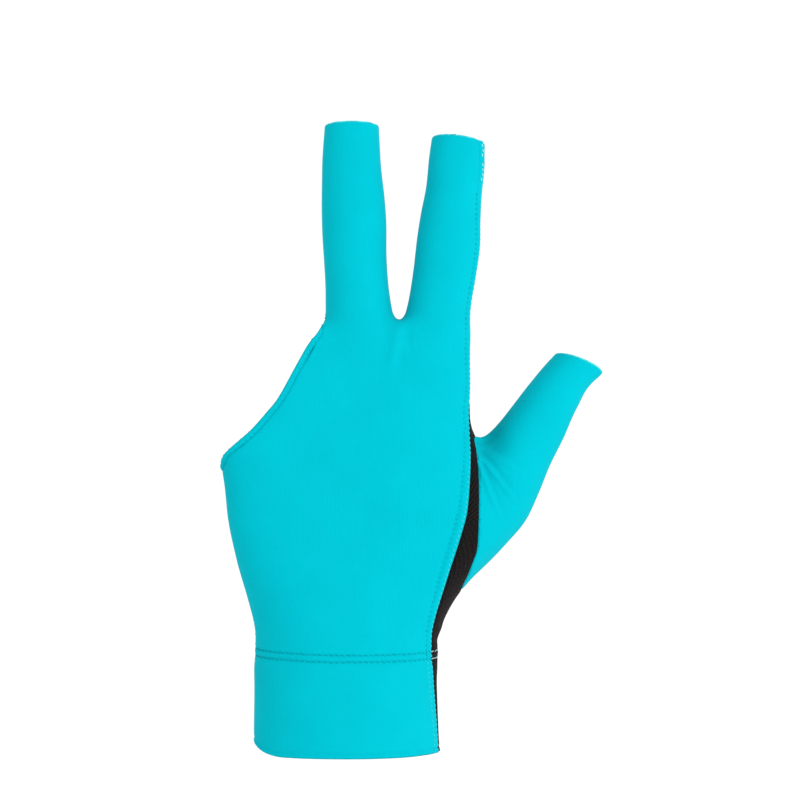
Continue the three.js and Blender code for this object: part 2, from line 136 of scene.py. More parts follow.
# along, little, thumb, back, palm: edges as shares of the stall's width and depth
middleStall = {
    "x": 4.055, "y": -2.5, "z": 143.0, "lean": -2.1, "length": 65.7, "width": 21.5, "depth": 19.0,
    "curl": 6.0, "tipSlant": 2.1, "tipBend": 9.0,
    "sections": smoothTable([
        (-0.45, -0.38, 0.38, 0.30, 0.30),
        (0.00, -0.500, 0.560, 0.50, 0.52),
        (0.07, -0.493, 0.528, 0.50, 0.52),
        (0.16, -0.484, 0.493, 0.50, 0.51),
        (0.30, -0.490, 0.474, 0.49, 0.50),
        (0.48, -0.508, 0.492, 0.50, 0.50),
        (0.64, -0.494, 0.474, 0.47, 0.48),
        (0.80, -0.468, 0.442, 0.44, 0.46),
        (0.92, -0.440, 0.430, 0.42, 0.44),
        (1.00, -0.415, 0.430, 0.41, 0.43),
        (1.15, -0.400, 0.410, 0.40, 0.42),
    ]),
}
indexStall = {
    "x": 30.755, "y": -2.5, "z": 143.0, "lean": 6.6, "length": 61.1, "width": 21.5, "depth": 19.0,
    "curl": 6.0, "tipSlant": 0.9, "tipBend": 11.0,
    "sections": smoothTable([
        (-0.55, -0.38, 0.42, 0.30, 0.30),
        (0.00, -0.525, 0.478, 0.50, 0.52),
        (0.10, -0.495, 0.472, 0.50, 0.51),
        (0.26, -0.476, 0.497, 0.50, 0.50),
        (0.42, -0.480, 0.506, 0.50, 0.50),
        (0.58, -0.460, 0.472, 0.47, 0.48),
        (0.72, -0.432, 0.442, 0.45, 0.46),
        (0.88, -0.435, 0.436, 0.43, 0.44),
        (1.00, -0.425, 0.405, 0.41, 0.43),
        (1.15, -0.410, 0.390, 0.40, 0.42),
    ]),
}
thumbStall = {
    "x": 23.0, "y": 4.0, "z": 37.1, "lean": 30.4, "length": 107.5, "width": 21.0, "depth": 20.0,
    "curl": 5.0, "tipSlant": -7.5, "tipBend": 13.0,
    "sections": smoothTable([
        (0.00, -0.50, 0.10, 0.45, 0.55),
        (0.10, -0.56, 0.15, 0.60, 0.75),
        (0.20, -0.60, 0.22, 0.66, 0.85),
        (0.30, -0.62, 0.37, 0.68, 0.88),
        (0.40, -0.62, 0.50, 0.66, 0.84),
        (0.49, -0.62, 0.575, 0.62, 0.74),
        (0.58, -0.62, 0.535, 0.57, 0.62),
        (0.68, -0.59, 0.465, 0.52, 0.54),
        (0.78, -0.530, 0.430, 0.50, 0.50),
        (0.88, -0.460, 0.375, 0.45, 0.46),
        (0.94, -0.410, 0.365, 0.42, 0.44),
        (1.00, -0.345, 0.425, 0.40, 0.42),
        (1.12, -0.300, 0.480, 0.38, 0.40),
    ]),
}

cuffHalf = glove["cuffWidth"] / 2
webHeight = glove["cuffHeight"] + glove["palmLength"]


def acrossPalm(share):
    return cuffHalf + (glove["palmWidth"] / 2 - cuffHalf) * share


def depthInPalm(share):
    return (glove["cuffDepth"] + (glove["palmDepth"] - glove["cuffDepth"]) * share) / 2


def upPalm(share):
    return glove["cuffHeight"] + glove["palmLength"] * share


def smoothstep(value, low, high):
    t = np.clip((value - low) / (high - low), 0, 1)
    return t * t * (3 - 2 * t)


def blend(a, b, size):
    share = np.maximum(size - np.abs(a - b), 0) / size
    return np.minimum(a, b) - share * share * size / 4


def trim(a, b, size):
    return -blend(-a, -b, size)


def outsideSection(u, v, low, high, front, rear, squareness):
    # roughly how far a place in a section's plane lies outside its rounded outline
    halfWidth = (high - low) / 2
    halfDepth = (front + rear) / 2
    across = np.abs(u - (low + high) / 2)
    deep = np.abs(v - (rear - front) / 2)
    total = (across / halfWidth) ** squareness + (deep / halfDepth) ** squareness
    reach = np.maximum(total, 1e-6) ** (1 / squareness)
    return (1 - 1 / np.maximum(reach, 0.2)) * np.maximum(np.hypot(across, deep), halfDepth * 0.2)


def palmForm(p):
    little, thumb, back, palm, squareness = readTable(
        palmSections, (p[:, 2] - glove["cuffHeight"]) / glove["palmLength"])
    side = outsideSection(p[:, 0], p[:, 1], -acrossPalm(little), acrossPalm(thumb),
                          depthInPalm(back), depthInPalm(palm), squareness)
    capped = trim(side, p[:, 2] - webHeight, glove["palmTopRound"])
    return trim(capped, -p[:, 2] - glove["belowWrist"], 1)


def alongStall(stall, p):
    # across the stall, behind its axis and up it, in its own leaning directions
    lean = math.radians(stall["lean"])
    dx = p[:, 0] - stall["x"]
    dz = p[:, 2] - stall["z"]
    across = dx * math.cos(lean) - dz * math.sin(lean)
    up = dx * math.sin(lean) + dz * math.cos(lean)
    along = up / stall["length"]
    behind = p[:, 1] - stall["y"] - stall["curl"] * np.maximum(along, 0) ** 2
    return across, behind, up, along


def stallForm(stall, p):
    across, behind, up, along = alongStall(stall, p)
    little, thumb, back, palm = readTable(stall["sections"], along)
    side = outsideSection(across, behind, little * stall["width"], thumb * stall["width"],
                          back * stall["depth"], palm * stall["depth"], glove["stallSquareness"])
    ends = stall["sections"][0][[0, -1], 0] * stall["length"]
    capped = trim(side, up - ends[1], glove["tipRound"])
    return trim(capped, ends[0] - up, glove["rootRound"])


def gloveForm(p):
    # negative inside the worn glove, and about the distance in millimetres near it
    fingers = blend(stallForm(middleStall, p), stallForm(indexStall, p), glove["webBlend"])
    body = blend(palmForm(p), fingers, glove["fingerBlend"])
    return blend(body, stallForm(thumbStall, p), glove["thumbBlend"])


def slopeOf(field, p, step=0.02):
    slope = np.empty_like(p)
    for axis in range(3):
        shift = np.zeros(3)
        shift[axis] = step
        slope[:, axis] = (field(p + shift) - field(p - shift)) / (2 * step)
    return slope


def ontoForm(p, turns=2, step=0.01):
    for _ in range(turns):
        here = gloveForm(p)
        slope = np.stack([gloveForm(p + shift) - here for shift in np.eye(3) * step], 1) / step
        p = p - slope * (here / np.maximum((slope ** 2).sum(1), 1e-6))[:, None]
    return p


def unit(vectors):
    return vectors / np.maximum(np.linalg.norm(vectors, axis=1), 1e-9)[:, None]


# seams are lines in X and Z that run right through the glove
def smoothLine(corners, pieces=140):
    # a curve through the corners, with half the gap between neighbours as its pace
    corners = np.array(corners, float)
    last = len(corners) - 1
    place = np.linspace(0, last, pieces + 1)
    i = np.minimum(place.astype(int), last - 1)
    t = (place - i)[:, None]
    before = corners[np.maximum(i - 1, 0)]
    here = corners[i]
    there = corners[i + 1]
    after = corners[np.minimum(i + 2, last)]
    leave = (there - before) / 2
    arrive = (after - here) / 2
    return ((2 * here - 2 * there + leave + arrive) * t ** 3
            + (-3 * here + 3 * there - 2 * leave - arrive) * t ** 2 + leave * t + here)


def distanceInto(outline, x, z):
    # distance from a closed outline, positive inside it
    end = np.roll(outline, -1, axis=0)
    run = end - outline
    length2 = np.maximum((run ** 2).sum(1), 1e-12)
    x = x[:, None]
    z = z[:, None]
    t = np.clip(((x - outline[:, 0]) * run[:, 0] + (z - outline[:, 1]) * run[:, 1]) / length2, 0, 1)
    away = np.hypot(x - outline[:, 0] - t * run[:, 0], z - outline[:, 1] - t * run[:, 1]).min(1)
    over = (outline[:, 1] > z) != (end[:, 1] > z)
    rise = np.where(np.abs(run[:, 1]) < 1e-12, 1e-12, run[:, 1])
    hits = over & (x < outline[:, 0] + run[:, 0] * (z - outline[:, 1]) / rise)
    return np.where(hits.sum(1) % 2 == 1, away, -away)


seamReading = {"skip": 12, "exactWithin": 7.0, "batch": 20000}


def regionField(line, closing):
    # distance in X and Z from a seam line, positive in the region that the closing corners complete
    exact = np.vstack([line, closing])
    rough = np.vstack([line[::seamReading["skip"]], line[-1:], closing])

    def field(p):
        result = distanceInto(rough, p[:, 0], p[:, 2])
        near = np.flatnonzero(np.abs(result) < seamReading["exactWithin"])
        for part in np.array_split(near, len(near) // seamReading["batch"] + 1):
            result[part] = distanceInto(exact, p[part, 0], p[part, 2])
        return result
    return field


far = 300.0  # well past the glove
stallEdgeX = middleStall["x"] - 0.5 * middleStall["width"]
openingLow = {"share": 0.573, "topRise": 1.3}
openingLowX = -acrossPalm(float(readTable(palmSections, np.array(openingLow["share"]))[0]))
openingLowZ = upPalm(openingLow["share"])
openingTopZ = webHeight + openingLow["topRise"]

# side opening: across from the palm's outer side to the middle stall, and up to its web
openingLine = smoothLine([
    (openingLowX + (stallEdgeX - openingLowX) * across, openingLowZ + (openingTopZ - openingLowZ) * up)
    for across, up in [
        (-0.10, -0.13), (0.000, -0.01), (0.036, 0.066), (0.112, 0.124), (0.298, 0.237), (0.458, 0.365),
        (0.566, 0.463), (0.72, 0.663), (0.837, 0.811), (0.934, 0.903), (1, 1)]])
inOpening = regionField(openingLine, [
    (openingLine[-1, 0] - far / 2, openingLine[-1, 1] + far), (-far, far),
    (-far, openingLine[0, 1] - far / 4)])

# seam of the back panel on the thumb side, from below the wrist to above the thumb's web
sideLine = smoothLine([
    (acrossPalm(across), upPalm(along))
    for along, across in [(-0.40, -0.05), (-0.29, -0.07), (-0.13, -0.11), (0.04, -0.17), (0.12, -0.06),
                          (0.255, 0.30), (0.375, 0.63), (0.45, 0.79), (0.585, 0.872), (0.675, 0.850),
                          (0.755, 0.855), (0.82, 1.08)]])
leftOfSideSeam = regionField(sideLine, [
    (far, sideLine[-1, 1]), (far, far), (-far, far), (-far, sideLine[0, 1])])

# seam of the thumb stall, from low on the palm to the thumb's web
thumbLine = smoothLine([
    (acrossPalm(across), upPalm(along))
    for along, across in [(0.08, 0.62), (0.16, 0.63), (0.205, 0.70), (0.25, 0.87), (0.305, 1.04),
                          (0.35, 1.09), (0.515, 1.12), (0.615, 1.07), (0.655, 1.05), (0.72, 1.35)]])
inThumb = regionField(thumbLine, [
    (thumbLine[-1, 0] + far / 6, thumbLine[-1, 1] + far), (far, far), (far, -far), (thumbLine[0, 0], -far)])

# where the finger fronts meet the palm's mesh
thumbEdgeX = acrossPalm(0.90)
frontLine = smoothLine([
    (stallEdgeX + (thumbEdgeX - stallEdgeX) * across, upPalm(along))
    for across, along in [(-0.30, 1.16), (0, 0.975), (0.20, 0.885), (0.55, 0.800), (0.90, 0.765),
                          (1.20, 0.760)]])
aboveFrontSeam = regionField(frontLine, [(far, frontLine[-1, 1]), (far, far), (-far, far)])


def seamDepthAt(x, z):
    rise = np.maximum(z - webHeight, 0)
    curl = middleStall["curl"] * (rise / middleStall["length"]) ** 2
    axis = indexStall["x"] + math.tan(math.radians(indexStall["lean"])) * rise
    quarter = indexStall["width"] / 4
    return glove["seamDepth"] + curl - glove["seamLift"] * smoothstep(x, axis - quarter, axis + quarter)


def onBack(p):
    # positive on the back panel's side of its seams, with the corner between them rounded
    forward = seamDepthAt(p[:, 0], p[:, 2]) - p[:, 1]
    return blend(leftOfSideSeam(p) + glove["seamShift"], forward, glove["seamCorner"])


def pastTip(stall):
    # positive past a stall's open end
    lean = math.radians(stall["lean"])
    turn = lean + math.radians(stall["tipSlant"])
    bend = math.radians(stall["tipBend"])
    normal = np.array([math.cos(bend) * math.sin(turn), math.sin(bend), math.cos(bend) * math.cos(turn)])
    place = np.array([stall["x"] + stall["length"] * math.sin(lean), stall["y"] + stall["curl"],
                      stall["z"] + stall["length"] * math.cos(lean)])

    def field(p):
        across = alongStall(stall, p)[0]
        return np.minimum((p - place) @ normal, stall["width"] - np.abs(across))
    return field


def belowHem(p):
    # positive below the wrist hem, which rises in a rounded corner at the seam on the outer side
    width, height = glove["hemCorner"]
    share = np.clip(1 - (p[:, 0] + cuffHalf + 0.3) / width, 0, 1)
    return height * (1 - np.sqrt(1 - share ** 2 * 0.999)) - p[:, 2]


def inBinding(p):
    # positive in the folded strip along the side opening, which tapers off at the web
    # and is narrower at its lower end
    before, past = glove["bindingTop"]
    below, above = glove["bindingLow"]
    share = 1 - 1.6 * smoothstep(p[:, 2], openingTopZ - before, openingTopZ + past)
    share = share - 0.4 * (1 - smoothstep(p[:, 2], openingLowZ - below, openingLowZ + above))
    return inOpening(p) + glove["bindingWidth"] * share


def aboveCuff(p):
    # positive above the cuff, whose top rises slightly towards the outer side
    slope, start = glove["cuffRise"]
    return p[:, 2] - glove["cuffHeight"] - slope * np.maximum(start - p[:, 0], 0)


seamFields = {
    "wrist": belowHem,
    "cuffTop": aboveCuff,
    "back": onBack,
    "thumb": inThumb,
    "opening": inOpening,
    "binding": inBinding,
    "fronts": aboveFrontSeam,
    "middleTip": pastTip(middleStall),
    "indexTip": pastTip(indexStall),
    "thumbTip": pastTip(thumbStall),
}

# creases run from one place to another in X and Z, as a ridge of that rise with a dip above it
creases = {
    "back_panel": [
        {"from": (17.6, 141.5), "to": (14.0, 122.0), "rise": 0.60, "width": 2.0, "fade": 0.7},
        {"from": (18.8, 137.5), "to": (20.8, 128.0), "rise": 0.22, "width": 1.3, "fade": 0.6},
        {"from": (-8.2, 141.0), "to": (-13.2, 129.0), "rise": -0.75, "width": 0.6, "fade": 0.5},
    ],
    "thumb_stall": [
        {"from": (43.2, 100.0), "to": (57.5, 82.0), "rise": 0.95, "width": 1.0, "fade": 0.55},
        {"from": (43.4, 97.0), "to": (51.5, 77.0), "rise": 0.80, "width": 0.9, "fade": 0.6},
        {"from": (46.0, 100.5), "to": (60.0, 92.0), "rise": 0.40, "width": 1.3, "fade": 0.7},
    ],
}


def acrossCrease(crease, p):
    # share of the way along a crease, its length, and the distance above it
    start = np.array(crease["from"])
    run = np.array(crease["to"]) - start
    length = math.hypot(*run)
    run = run / length
    offset = p[:, [0, 2]] - start
    return offset @ run / length, length, offset @ np.array([-run[1], run[0]]) * np.sign(-run[1])


# the surface is one even mesh of the form, cut exactly along the seams
surface = {
    "step": 0.95,  # mesh size on plain cloth
    # cloth this near a seam gets half of that
    "fineBand": {"wrist": 2.6, "cuffTop": 2.6, "back": 3.7, "thumb": 2.0, "opening": 2.2, "binding": 2.2,
                 "fronts": 1.8, "middleTip": 1.5, "indexTip": 1.5, "thumbTip": 1.5},
    "creaseBand": 3.0,  # and so does cloth this near a crease
    "creaseFront": 1.0,  # where it lies in front of this depth
    "low": (-54.0, -25.0, -4.0),
    "high": (94.0, 29.0, 214.0),
    "evenTurns": 5,
    "block": 4,  # the form is first read once for a block of so many cells
    "batches": 12,
    # a point is slid onto a seam from this near, by this much at most (both as shares of the edges
    # there), if it comes this near
    "slideFrom": 0.45,
    "slideBy": 0.6,
    "slideTo": 0.03,
}


def readForm(lines, count):
    # the form on a grid: roughly in blocks, and exactly near the surface
    block = surface["block"]
    middles = [line[::block] + (block - 1) / 2 * surface["step"] for line in lines]
    values = gloveForm(np.stack(np.meshgrid(*middles, indexing="ij"), -1).reshape(-1, 3))
    values = values.reshape([len(middle) for middle in middles])
    for axis in range(3):
        values = np.repeat(values, block, axis)
    values = values[:count[0], :count[1], :count[2]].copy()
    near = np.argwhere(np.abs(values) < 1.2 * block * surface["step"])
    for part in np.array_split(near, surface["batches"]):
        places = np.stack([lines[k][part[:, k]] for k in range(3)], 1)
        values[tuple(part.T)] = gloveForm(places)
    return values


def quadsAcross(axis, inside, number, count):
    # a quad round each grid edge along this axis that passes through the surface
    second, third = (axis + 1) % 3, (axis + 2) % 3
    head = [slice(None)] * 3
    tail = [slice(None)] * 3
    head[axis] = slice(0, -1)
    tail[axis] = slice(1, None)
    places = np.argwhere(inside[tuple(head)] != inside[tuple(tail)])
    within = np.ones(len(places), bool)
    for k in (second, third):
        within &= (places[:, k] > 0) & (places[:, k] < count[k] - 1)
    places = places[within]
    ring = []
    for backSecond, backThird in ((1, 1), (0, 1), (0, 0), (1, 0)):
        moved = places.copy()
        moved[:, second] -= backSecond
        moved[:, third] -= backThird
        ring.append(number[tuple(moved.T)])
    ring = np.stack(ring, 1)
    outward = inside[tuple(places.T)]
    ring[~outward] = ring[~outward][:, ::-1]
    return ring


def evened(points, quads):
    # each point halfway to the middle of its neighbours, and laid on the form again
    total = np.zeros_like(points)
    near = np.zeros(len(points))
    for a in range(4):
        for b in ((a + 1) % 4, (a + 3) % 4):
            near += np.bincount(quads[:, a], minlength=len(points))
            for k in range(3):
                total[:, k] += np.bincount(quads[:, a], points[quads[:, b], k], len(points))
    return ontoForm((points + total / near[:, None]) / 2, 1)


def formSurface():
    # one point in each grid cell that the surface passes through, joined to its neighbours
    lines = [np.arange(low, high, surface["step"]) for low, high in zip(surface["low"], surface["high"])]
    count = [len(line) for line in lines]
    inside = readForm(lines, count) < 0
    total = sum(inside[a:count[0] - 1 + a, b:count[1] - 1 + b, c:count[2] - 1 + c].astype(np.int8)
                for a in (0, 1) for b in (0, 1) for c in (0, 1))
    crossed = (total > 0) & (total < 8)
    number = np.full(crossed.shape, -1)
    number[crossed] = np.arange(crossed.sum())
    cells = np.argwhere(crossed)
    points = np.stack([lines[k][cells[:, k]] + surface["step"] / 2 for k in range(3)], 1)
    quads = np.vstack([quadsAcross(axis, inside, number, count) for axis in range(3)])
    points = ontoForm(points, 3)
    for _ in range(surface["evenTurns"]):
        points = evened(points, quads)
    a, b, c, d = quads.T
    short = np.linalg.norm(points[a] - points[c], axis=1) < np.linalg.norm(points[b] - points[d], axis=1)
    first = np.where(short[:, None], np.stack([a, b, c], 1), np.stack([a, b, d], 1))
    other = np.where(short[:, None], np.stack([a, c, d], 1), np.stack([b, c, d], 1))
    return points, np.vstack([first, other])


def edgesOf(tris):
    # every edge once, and for each triangle which edges it has
    ahead = np.roll(tris, -1, axis=1)
    size = int(tris.max()) + 1
    keys, which = np.unique(np.minimum(tris, ahead) * size + np.maximum(tris, ahead), return_inverse=True)
    return np.stack(np.divmod(keys, size), 1), which.reshape(-1, 3)


def turned(rows, by):
    # each row rolled so that the column named for it comes first
    return np.take_along_axis(rows, (by[:, None] + np.arange(rows.shape[1])) % rows.shape[1], 1)


def partlySplit(tris, which, middle):
    # the triangles with no new middle point on their edges, and those with one or two, split there
    marks = middle[which] >= 0
    amount = marks.sum(1)
    one = amount == 1
    by = marks[one].argmax(1)
    t, m = turned(tris[one], by), turned(middle[which[one]], by)[:, 0]
    parts = [tris[amount == 0], np.stack([t[:, 0], m, t[:, 2]], 1), np.stack([m, t[:, 1], t[:, 2]], 1)]
    two = amount == 2
    by = (marks[two].argmin(1) + 1) % 3
    t, m = turned(tris[two], by), turned(middle[which[two]], by)
    return parts + [np.stack([m[:, 0], t[:, 1], m[:, 1]], 1), np.stack([t[:, 0], m[:, 0], m[:, 1]], 1),
                    np.stack([t[:, 0], m[:, 1], t[:, 2]], 1)]


def halved(points, tris, wanted):
    # triangles with all corners wanted become four, and their neighbours two or three
    edges, which = edgesOf(tris)
    cut = wanted[edges].all(1)
    middle = np.full(len(edges), -1)
    middle[cut] = len(points) + np.arange(cut.sum())
    added = ontoForm(points[edges[cut]].mean(1), 2)
    full = cut[which].all(1)
    t, m = tris[full], middle[which[full]]
    quarters = [np.stack([t[:, 0], m[:, 0], m[:, 2]], 1), np.stack([m[:, 0], t[:, 1], m[:, 1]], 1),
                np.stack([m[:, 2], m[:, 1], t[:, 2]], 1), m]
    untouched, *parts = partlySplit(tris, which, middle)
    return np.vstack([points, added]), np.vstack([untouched, *quarters, *parts])


def ontoLine(points, field):
    # places slid along the form to where the field is zero
    for _ in range(3):
        normal = unit(slopeOf(gloveForm, points))
        slope = slopeOf(field, points, 0.01)
        slope -= normal * (slope * normal).sum(1)[:, None]
        steep = (slope ** 2).sum(1)
        step = -slope * (field(points) / np.maximum(steep, 0.05))[:, None]
        points = ontoForm(points + step, 1)
    return points


def cutAlong(points, tris, values, column, field, within=None):
    # the surface split where the field is zero: near points slide onto the line, edges get new points
    edges, which = edgesOf(tris)
    free = np.ones(len(edges), bool)
    if within is not None:
        free[:] = False
        free[which[within]] = True
    lengths = np.linalg.norm(points[edges[:, 0]] - points[edges[:, 1]], axis=1)
    reach = np.zeros(len(points))
    count = np.bincount(edges.ravel(), minlength=len(points))
    for side in (0, 1):
        reach += np.bincount(edges[:, side], lengths, len(points))
    reach /= np.maximum(count, 1)
    now = field(points)
    movable = (values[:, :column] != 0).all(1)
    movable &= np.bincount(edges[free].ravel(), minlength=len(points)) > 0
    near = np.flatnonzero((np.abs(now) < surface["slideFrom"] * reach) & movable)
    moved = ontoLine(points[near], field)
    short = np.linalg.norm(moved - points[near], axis=1) < surface["slideBy"] * reach[near]
    short &= np.abs(field(moved)) < surface["slideTo"]
    points = points.copy()
    points[near[short]] = moved[short]
    now = field(points)
    now[now == 0] = 1e-9
    now[near[short]] = 0
    values[:, column] = now

    side = np.sign(now)
    crossing = (side[edges[:, 0]] * side[edges[:, 1]] < 0) & free
    a, b = edges[crossing].T
    share = (now[a] / (now[a] - now[b]))[:, None]
    added = ontoForm(points[a] + (points[b] - points[a]) * share, 2)
    middle = np.full(len(edges), -1)
    middle[crossing] = len(points) + np.arange(crossing.sum())
    inherited = (values[a] == 0) & (values[b] == 0)
    fresh = np.ones((len(added), values.shape[1]))
    for k in range(column):
        fresh[:, k] = np.where(inherited[:, k], 0, fieldList[k](added))
    fresh[:, column] = 0
    return (np.vstack([points, added]), np.vstack(partlySplit(tris, which, middle)),
            np.vstack([values, fresh]))


fieldNames = list(seamFields)
fieldList = list(seamFields.values())
clothPoints, clothTris = formSurface()
nearSeam = np.zeros(len(clothPoints), bool)
for name, fieldOf in seamFields.items():
    nearSeam |= np.abs(fieldOf(clothPoints)) < surface["fineBand"][name]
for crease in sum(creases.values(), []):
    along, length, across = acrossCrease(crease, clothPoints)
    past = np.maximum(np.maximum(-along, along - 1), 0) * length
    inFront = clothPoints[:, 1] < surface["creaseFront"]
    nearSeam |= (np.hypot(across, past) < surface["creaseBand"]) & inFront
clothPoints, clothTris = halved(clothPoints, clothTris, nearSeam)
clothValues = np.ones((len(clothPoints), len(fieldList)))
for column, name in enumerate(fieldNames):
    within = None
    if name == "fronts":  # this seam only crosses the palm side
        within = clothValues[clothTris, fieldNames.index("back")].sum(1) < 0
    clothPoints, clothTris, clothValues = cutAlong(
        clothPoints, clothTris, clothValues, column, seamFields[name], within)
for column, fieldOf in enumerate(fieldList):
    clothValues[:, column] = np.where(clothValues[:, column] == 0, 0, fieldOf(clothPoints))
clothNormals = unit(slopeOf(gloveForm, clothPoints))
print("surface:", len(clothPoints), "points,", len(clothTris), "triangles")

sideOf = {name: clothValues[clothTris, k].sum(1) > 0 for k, name in enumerate(fieldNames)}
onLine = {name: clothValues[:, k] == 0 for k, name in enumerate(fieldNames)}
openLines = ("wrist", "opening", "middleTip", "indexTip", "thumbTip")
cutLines = ("middleTip", "indexTip", "thumbTip")  # raw cut edges
gone = np.any([sideOf[name] for name in openLines], axis=0)
inCuff = ~sideOf["cuffTop"]
panelNames = ["cuff_back", "cuff_palm", "opening_binding", "thumb_stall", "back_panel", "finger_fronts",
              "palm_panel"]
panelOf = np.select(
    [gone, inCuff & sideOf["back"], inCuff, sideOf["binding"], sideOf["thumb"], sideOf["back"],
     sideOf["fronts"]],
    [-1, 0, 1, 2, 3, 4, 5], 6)


# seam paths follow where panels meet, as even lines of points on the form
def chainsOf(edges):
    # edges joined end to end into lines, the longest first
    around = {}
    for a, b in edges.tolist():
        around.setdefault(a, []).append(b)
        around.setdefault(b, []).append(a)
    chains = []
    starts = [a for a in around if len(around[a]) == 1] + list(around)
    for start in starts:
        if not around.get(start):
            continue
        chain = [start]
        while around[chain[-1]]:
            there = around[chain[-1]].pop()
            around[there].remove(chain[-1])
            chain.append(there)
        chains.append(np.array(chain))
    return sorted(chains, key=len, reverse=True)


clothEdges, edgeOfTri = edgesOf(clothTris)
lowPanel = np.full(len(clothEdges), 9)
highPanel = np.full(len(clothEdges), -9)
np.minimum.at(lowPanel, edgeOfTri.ravel(), np.repeat(panelOf, 3))
np.maximum.at(highPanel, edgeOfTri.ravel(), np.repeat(panelOf, 3))


def meetings(first, second, keep=lambda middle: True):
    # lines where two panels meet ("none" is an opening), those whose middle point suits
    pair = sorted([panelNames.index(name) if name != "none" else -1 for name in (first, second)])
    chains = chainsOf(clothEdges[(lowPanel == pair[0]) & (highPanel == pair[1])])
    return [clothPoints[chain] for chain in chains
            if len(chain) > 4 and keep(clothPoints[chain].mean(0))]


def evenLine(points, spacing):
    away = np.linalg.norm(np.diff(points, axis=0), axis=1)
    keep = np.concatenate([[True], away > 1e-4])
    points = points[keep]
    run = np.concatenate([[0], np.cumsum(np.linalg.norm(np.diff(points, axis=0), axis=1))])
    places = np.linspace(0, run[-1], max(int(run[-1] / spacing), 4) + 1)
    return np.stack([np.interp(places, run, points[:, k]) for k in range(3)], 1)


pathStep = 0.25


def seamPath(*lines, closed=False):
    # lines joined end to end, smoothed and laid on the form again
    rest = [line for group in lines for line in group]
    path = rest.pop(0)
    while rest:
        ends = [(np.linalg.norm(path[e] - line[f]), n, e, f)
                for n, line in enumerate(rest) for e in (0, -1) for f in (0, -1)]
        _, n, e, f = min(ends, key=lambda end: end[0])
        line = rest.pop(n)
        if e == 0:
            path = path[::-1]
        path = np.vstack([path, line if f == 0 else line[::-1]])
    path = evenLine(path, pathStep)
    for _ in range(6):
        if closed:
            path = (np.roll(path, 1, axis=0) + path + np.roll(path, -1, axis=0)) / 3
        else:
            path[1:-1] = (path[:-2] + path[1:-1] + path[2:]) / 3
    path = ontoForm(evenLine(path, pathStep), 2)
    if not closed and path[0, 2] > path[-1, 2]:
        path = path[::-1]
    return path


# places that tell the seams' lines apart: across, and up from the web between the stalls
parted = {
    "thumbSide": 15,
    "outerSide": -5,
    "betweenStalls": 17,
    "middleEdge": 5,
    "indexEdge": 33,
    "tips": 40,
}


def onThumbSide(middle):
    return middle[0] > parted["thumbSide"]


def onOuterSide(middle):
    return middle[0] < parted["outerSide"]


def onIndexEdge(middle):
    return middle[0] > parted["indexEdge"]


def inFork(middle):
    return parted["middleEdge"] < middle[0] < parted["indexEdge"]


def onMiddleTip(middle):
    return middle[0] < parted["betweenStalls"] and middle[2] > webHeight + parted["tips"]


def onIndexTip(middle):
    return middle[0] > parted["betweenStalls"] and middle[2] > webHeight + parted["tips"]


def tipLines(keep):
    return [line for panel in ("back_panel", "finger_fronts") for line in meetings("none", panel, keep)]


seams = {
    "side": seamPath(meetings("cuff_back", "cuff_palm", onThumbSide),
                     meetings("back_panel", "palm_panel", onThumbSide),
                     meetings("back_panel", "finger_fronts", onIndexEdge)),
    "little": seamPath(meetings("cuff_back", "cuff_palm", onOuterSide),
                       meetings("back_panel", "palm_panel", onOuterSide)),
    "middle": seamPath(meetings("back_panel", "finger_fronts", onOuterSide)),
    "fork": seamPath(meetings("back_panel", "finger_fronts", inFork)),
    "thumb": seamPath(meetings("thumb_stall", "palm_panel"), closed=True),
    "fronts": seamPath(meetings("finger_fronts", "palm_panel")),
    "cuff": seamPath(meetings("cuff_back", "back_panel"), meetings("cuff_palm", "palm_panel"), closed=True),
    "binding": seamPath(meetings("opening_binding", "back_panel"), meetings("opening_binding", "palm_panel"),
                        meetings("opening_binding", "finger_fronts"), closed=True),
    "opening": seamPath(meetings("none", "opening_binding"), closed=True),
    "wrist": seamPath(meetings("none", "cuff_back"), meetings("none", "cuff_palm"), closed=True),
    "middleTip": seamPath(tipLines(onMiddleTip)),
    "indexTip": seamPath(tipLines(onIndexTip)),
    "thumbTip": seamPath(meetings("none", "thumb_stall"), closed=True),
}
seamTrees = {}
for name, path in seams.items():
    tree = KDTree(len(path))
    for n, place in enumerate(path):
        tree.insert(place, n)
    tree.balance()
    seamTrees[name] = tree
    print("  seam", name, "is", round(len(path) * pathStep), "mm long, from", path[0].round(1), "to",
          path[-1].round(1))


def awayFrom(name, points, reach=7.0):
    # distance of each point from a seam and its place along it, both in millimetres
    away = np.full(len(points), 99.0)
    along = np.zeros(len(points))
    path = seams[name]
    low = path.min(0) - reach
    high = path.max(0) + reach
    near = np.flatnonzero(((points > low) & (points < high)).all(1))
    find = seamTrees[name].find
    for n in near:
        _, place, distance = find(points[n])
        away[n] = distance
        along[n] = place * pathStep
    return away, along


# relief: what the cloth does beside each seam and where it creases
sideRow = {"low": 2.8, "high": 3.2, "from": 34.0, "until": 66.0}  # inner row's distance from the side seam

# rows of stitches: their distance from the seam, and from stitch to stitch
rowAway = {"sideEdge": 0.95, "sideBright": 1.75, "cuffAbove": 1.9, "cuffBelow": 0.45, "hem": 1.6,
           "binding": 1.55, "plain": 1.6, "covered": 0.5}
rowPitch = {"side": 1.65, "cuff": 1.9, "wrap": 3.3, "hem": 2.0, "binding": 1.7, "plain": 2.2, "covered": 1.6}

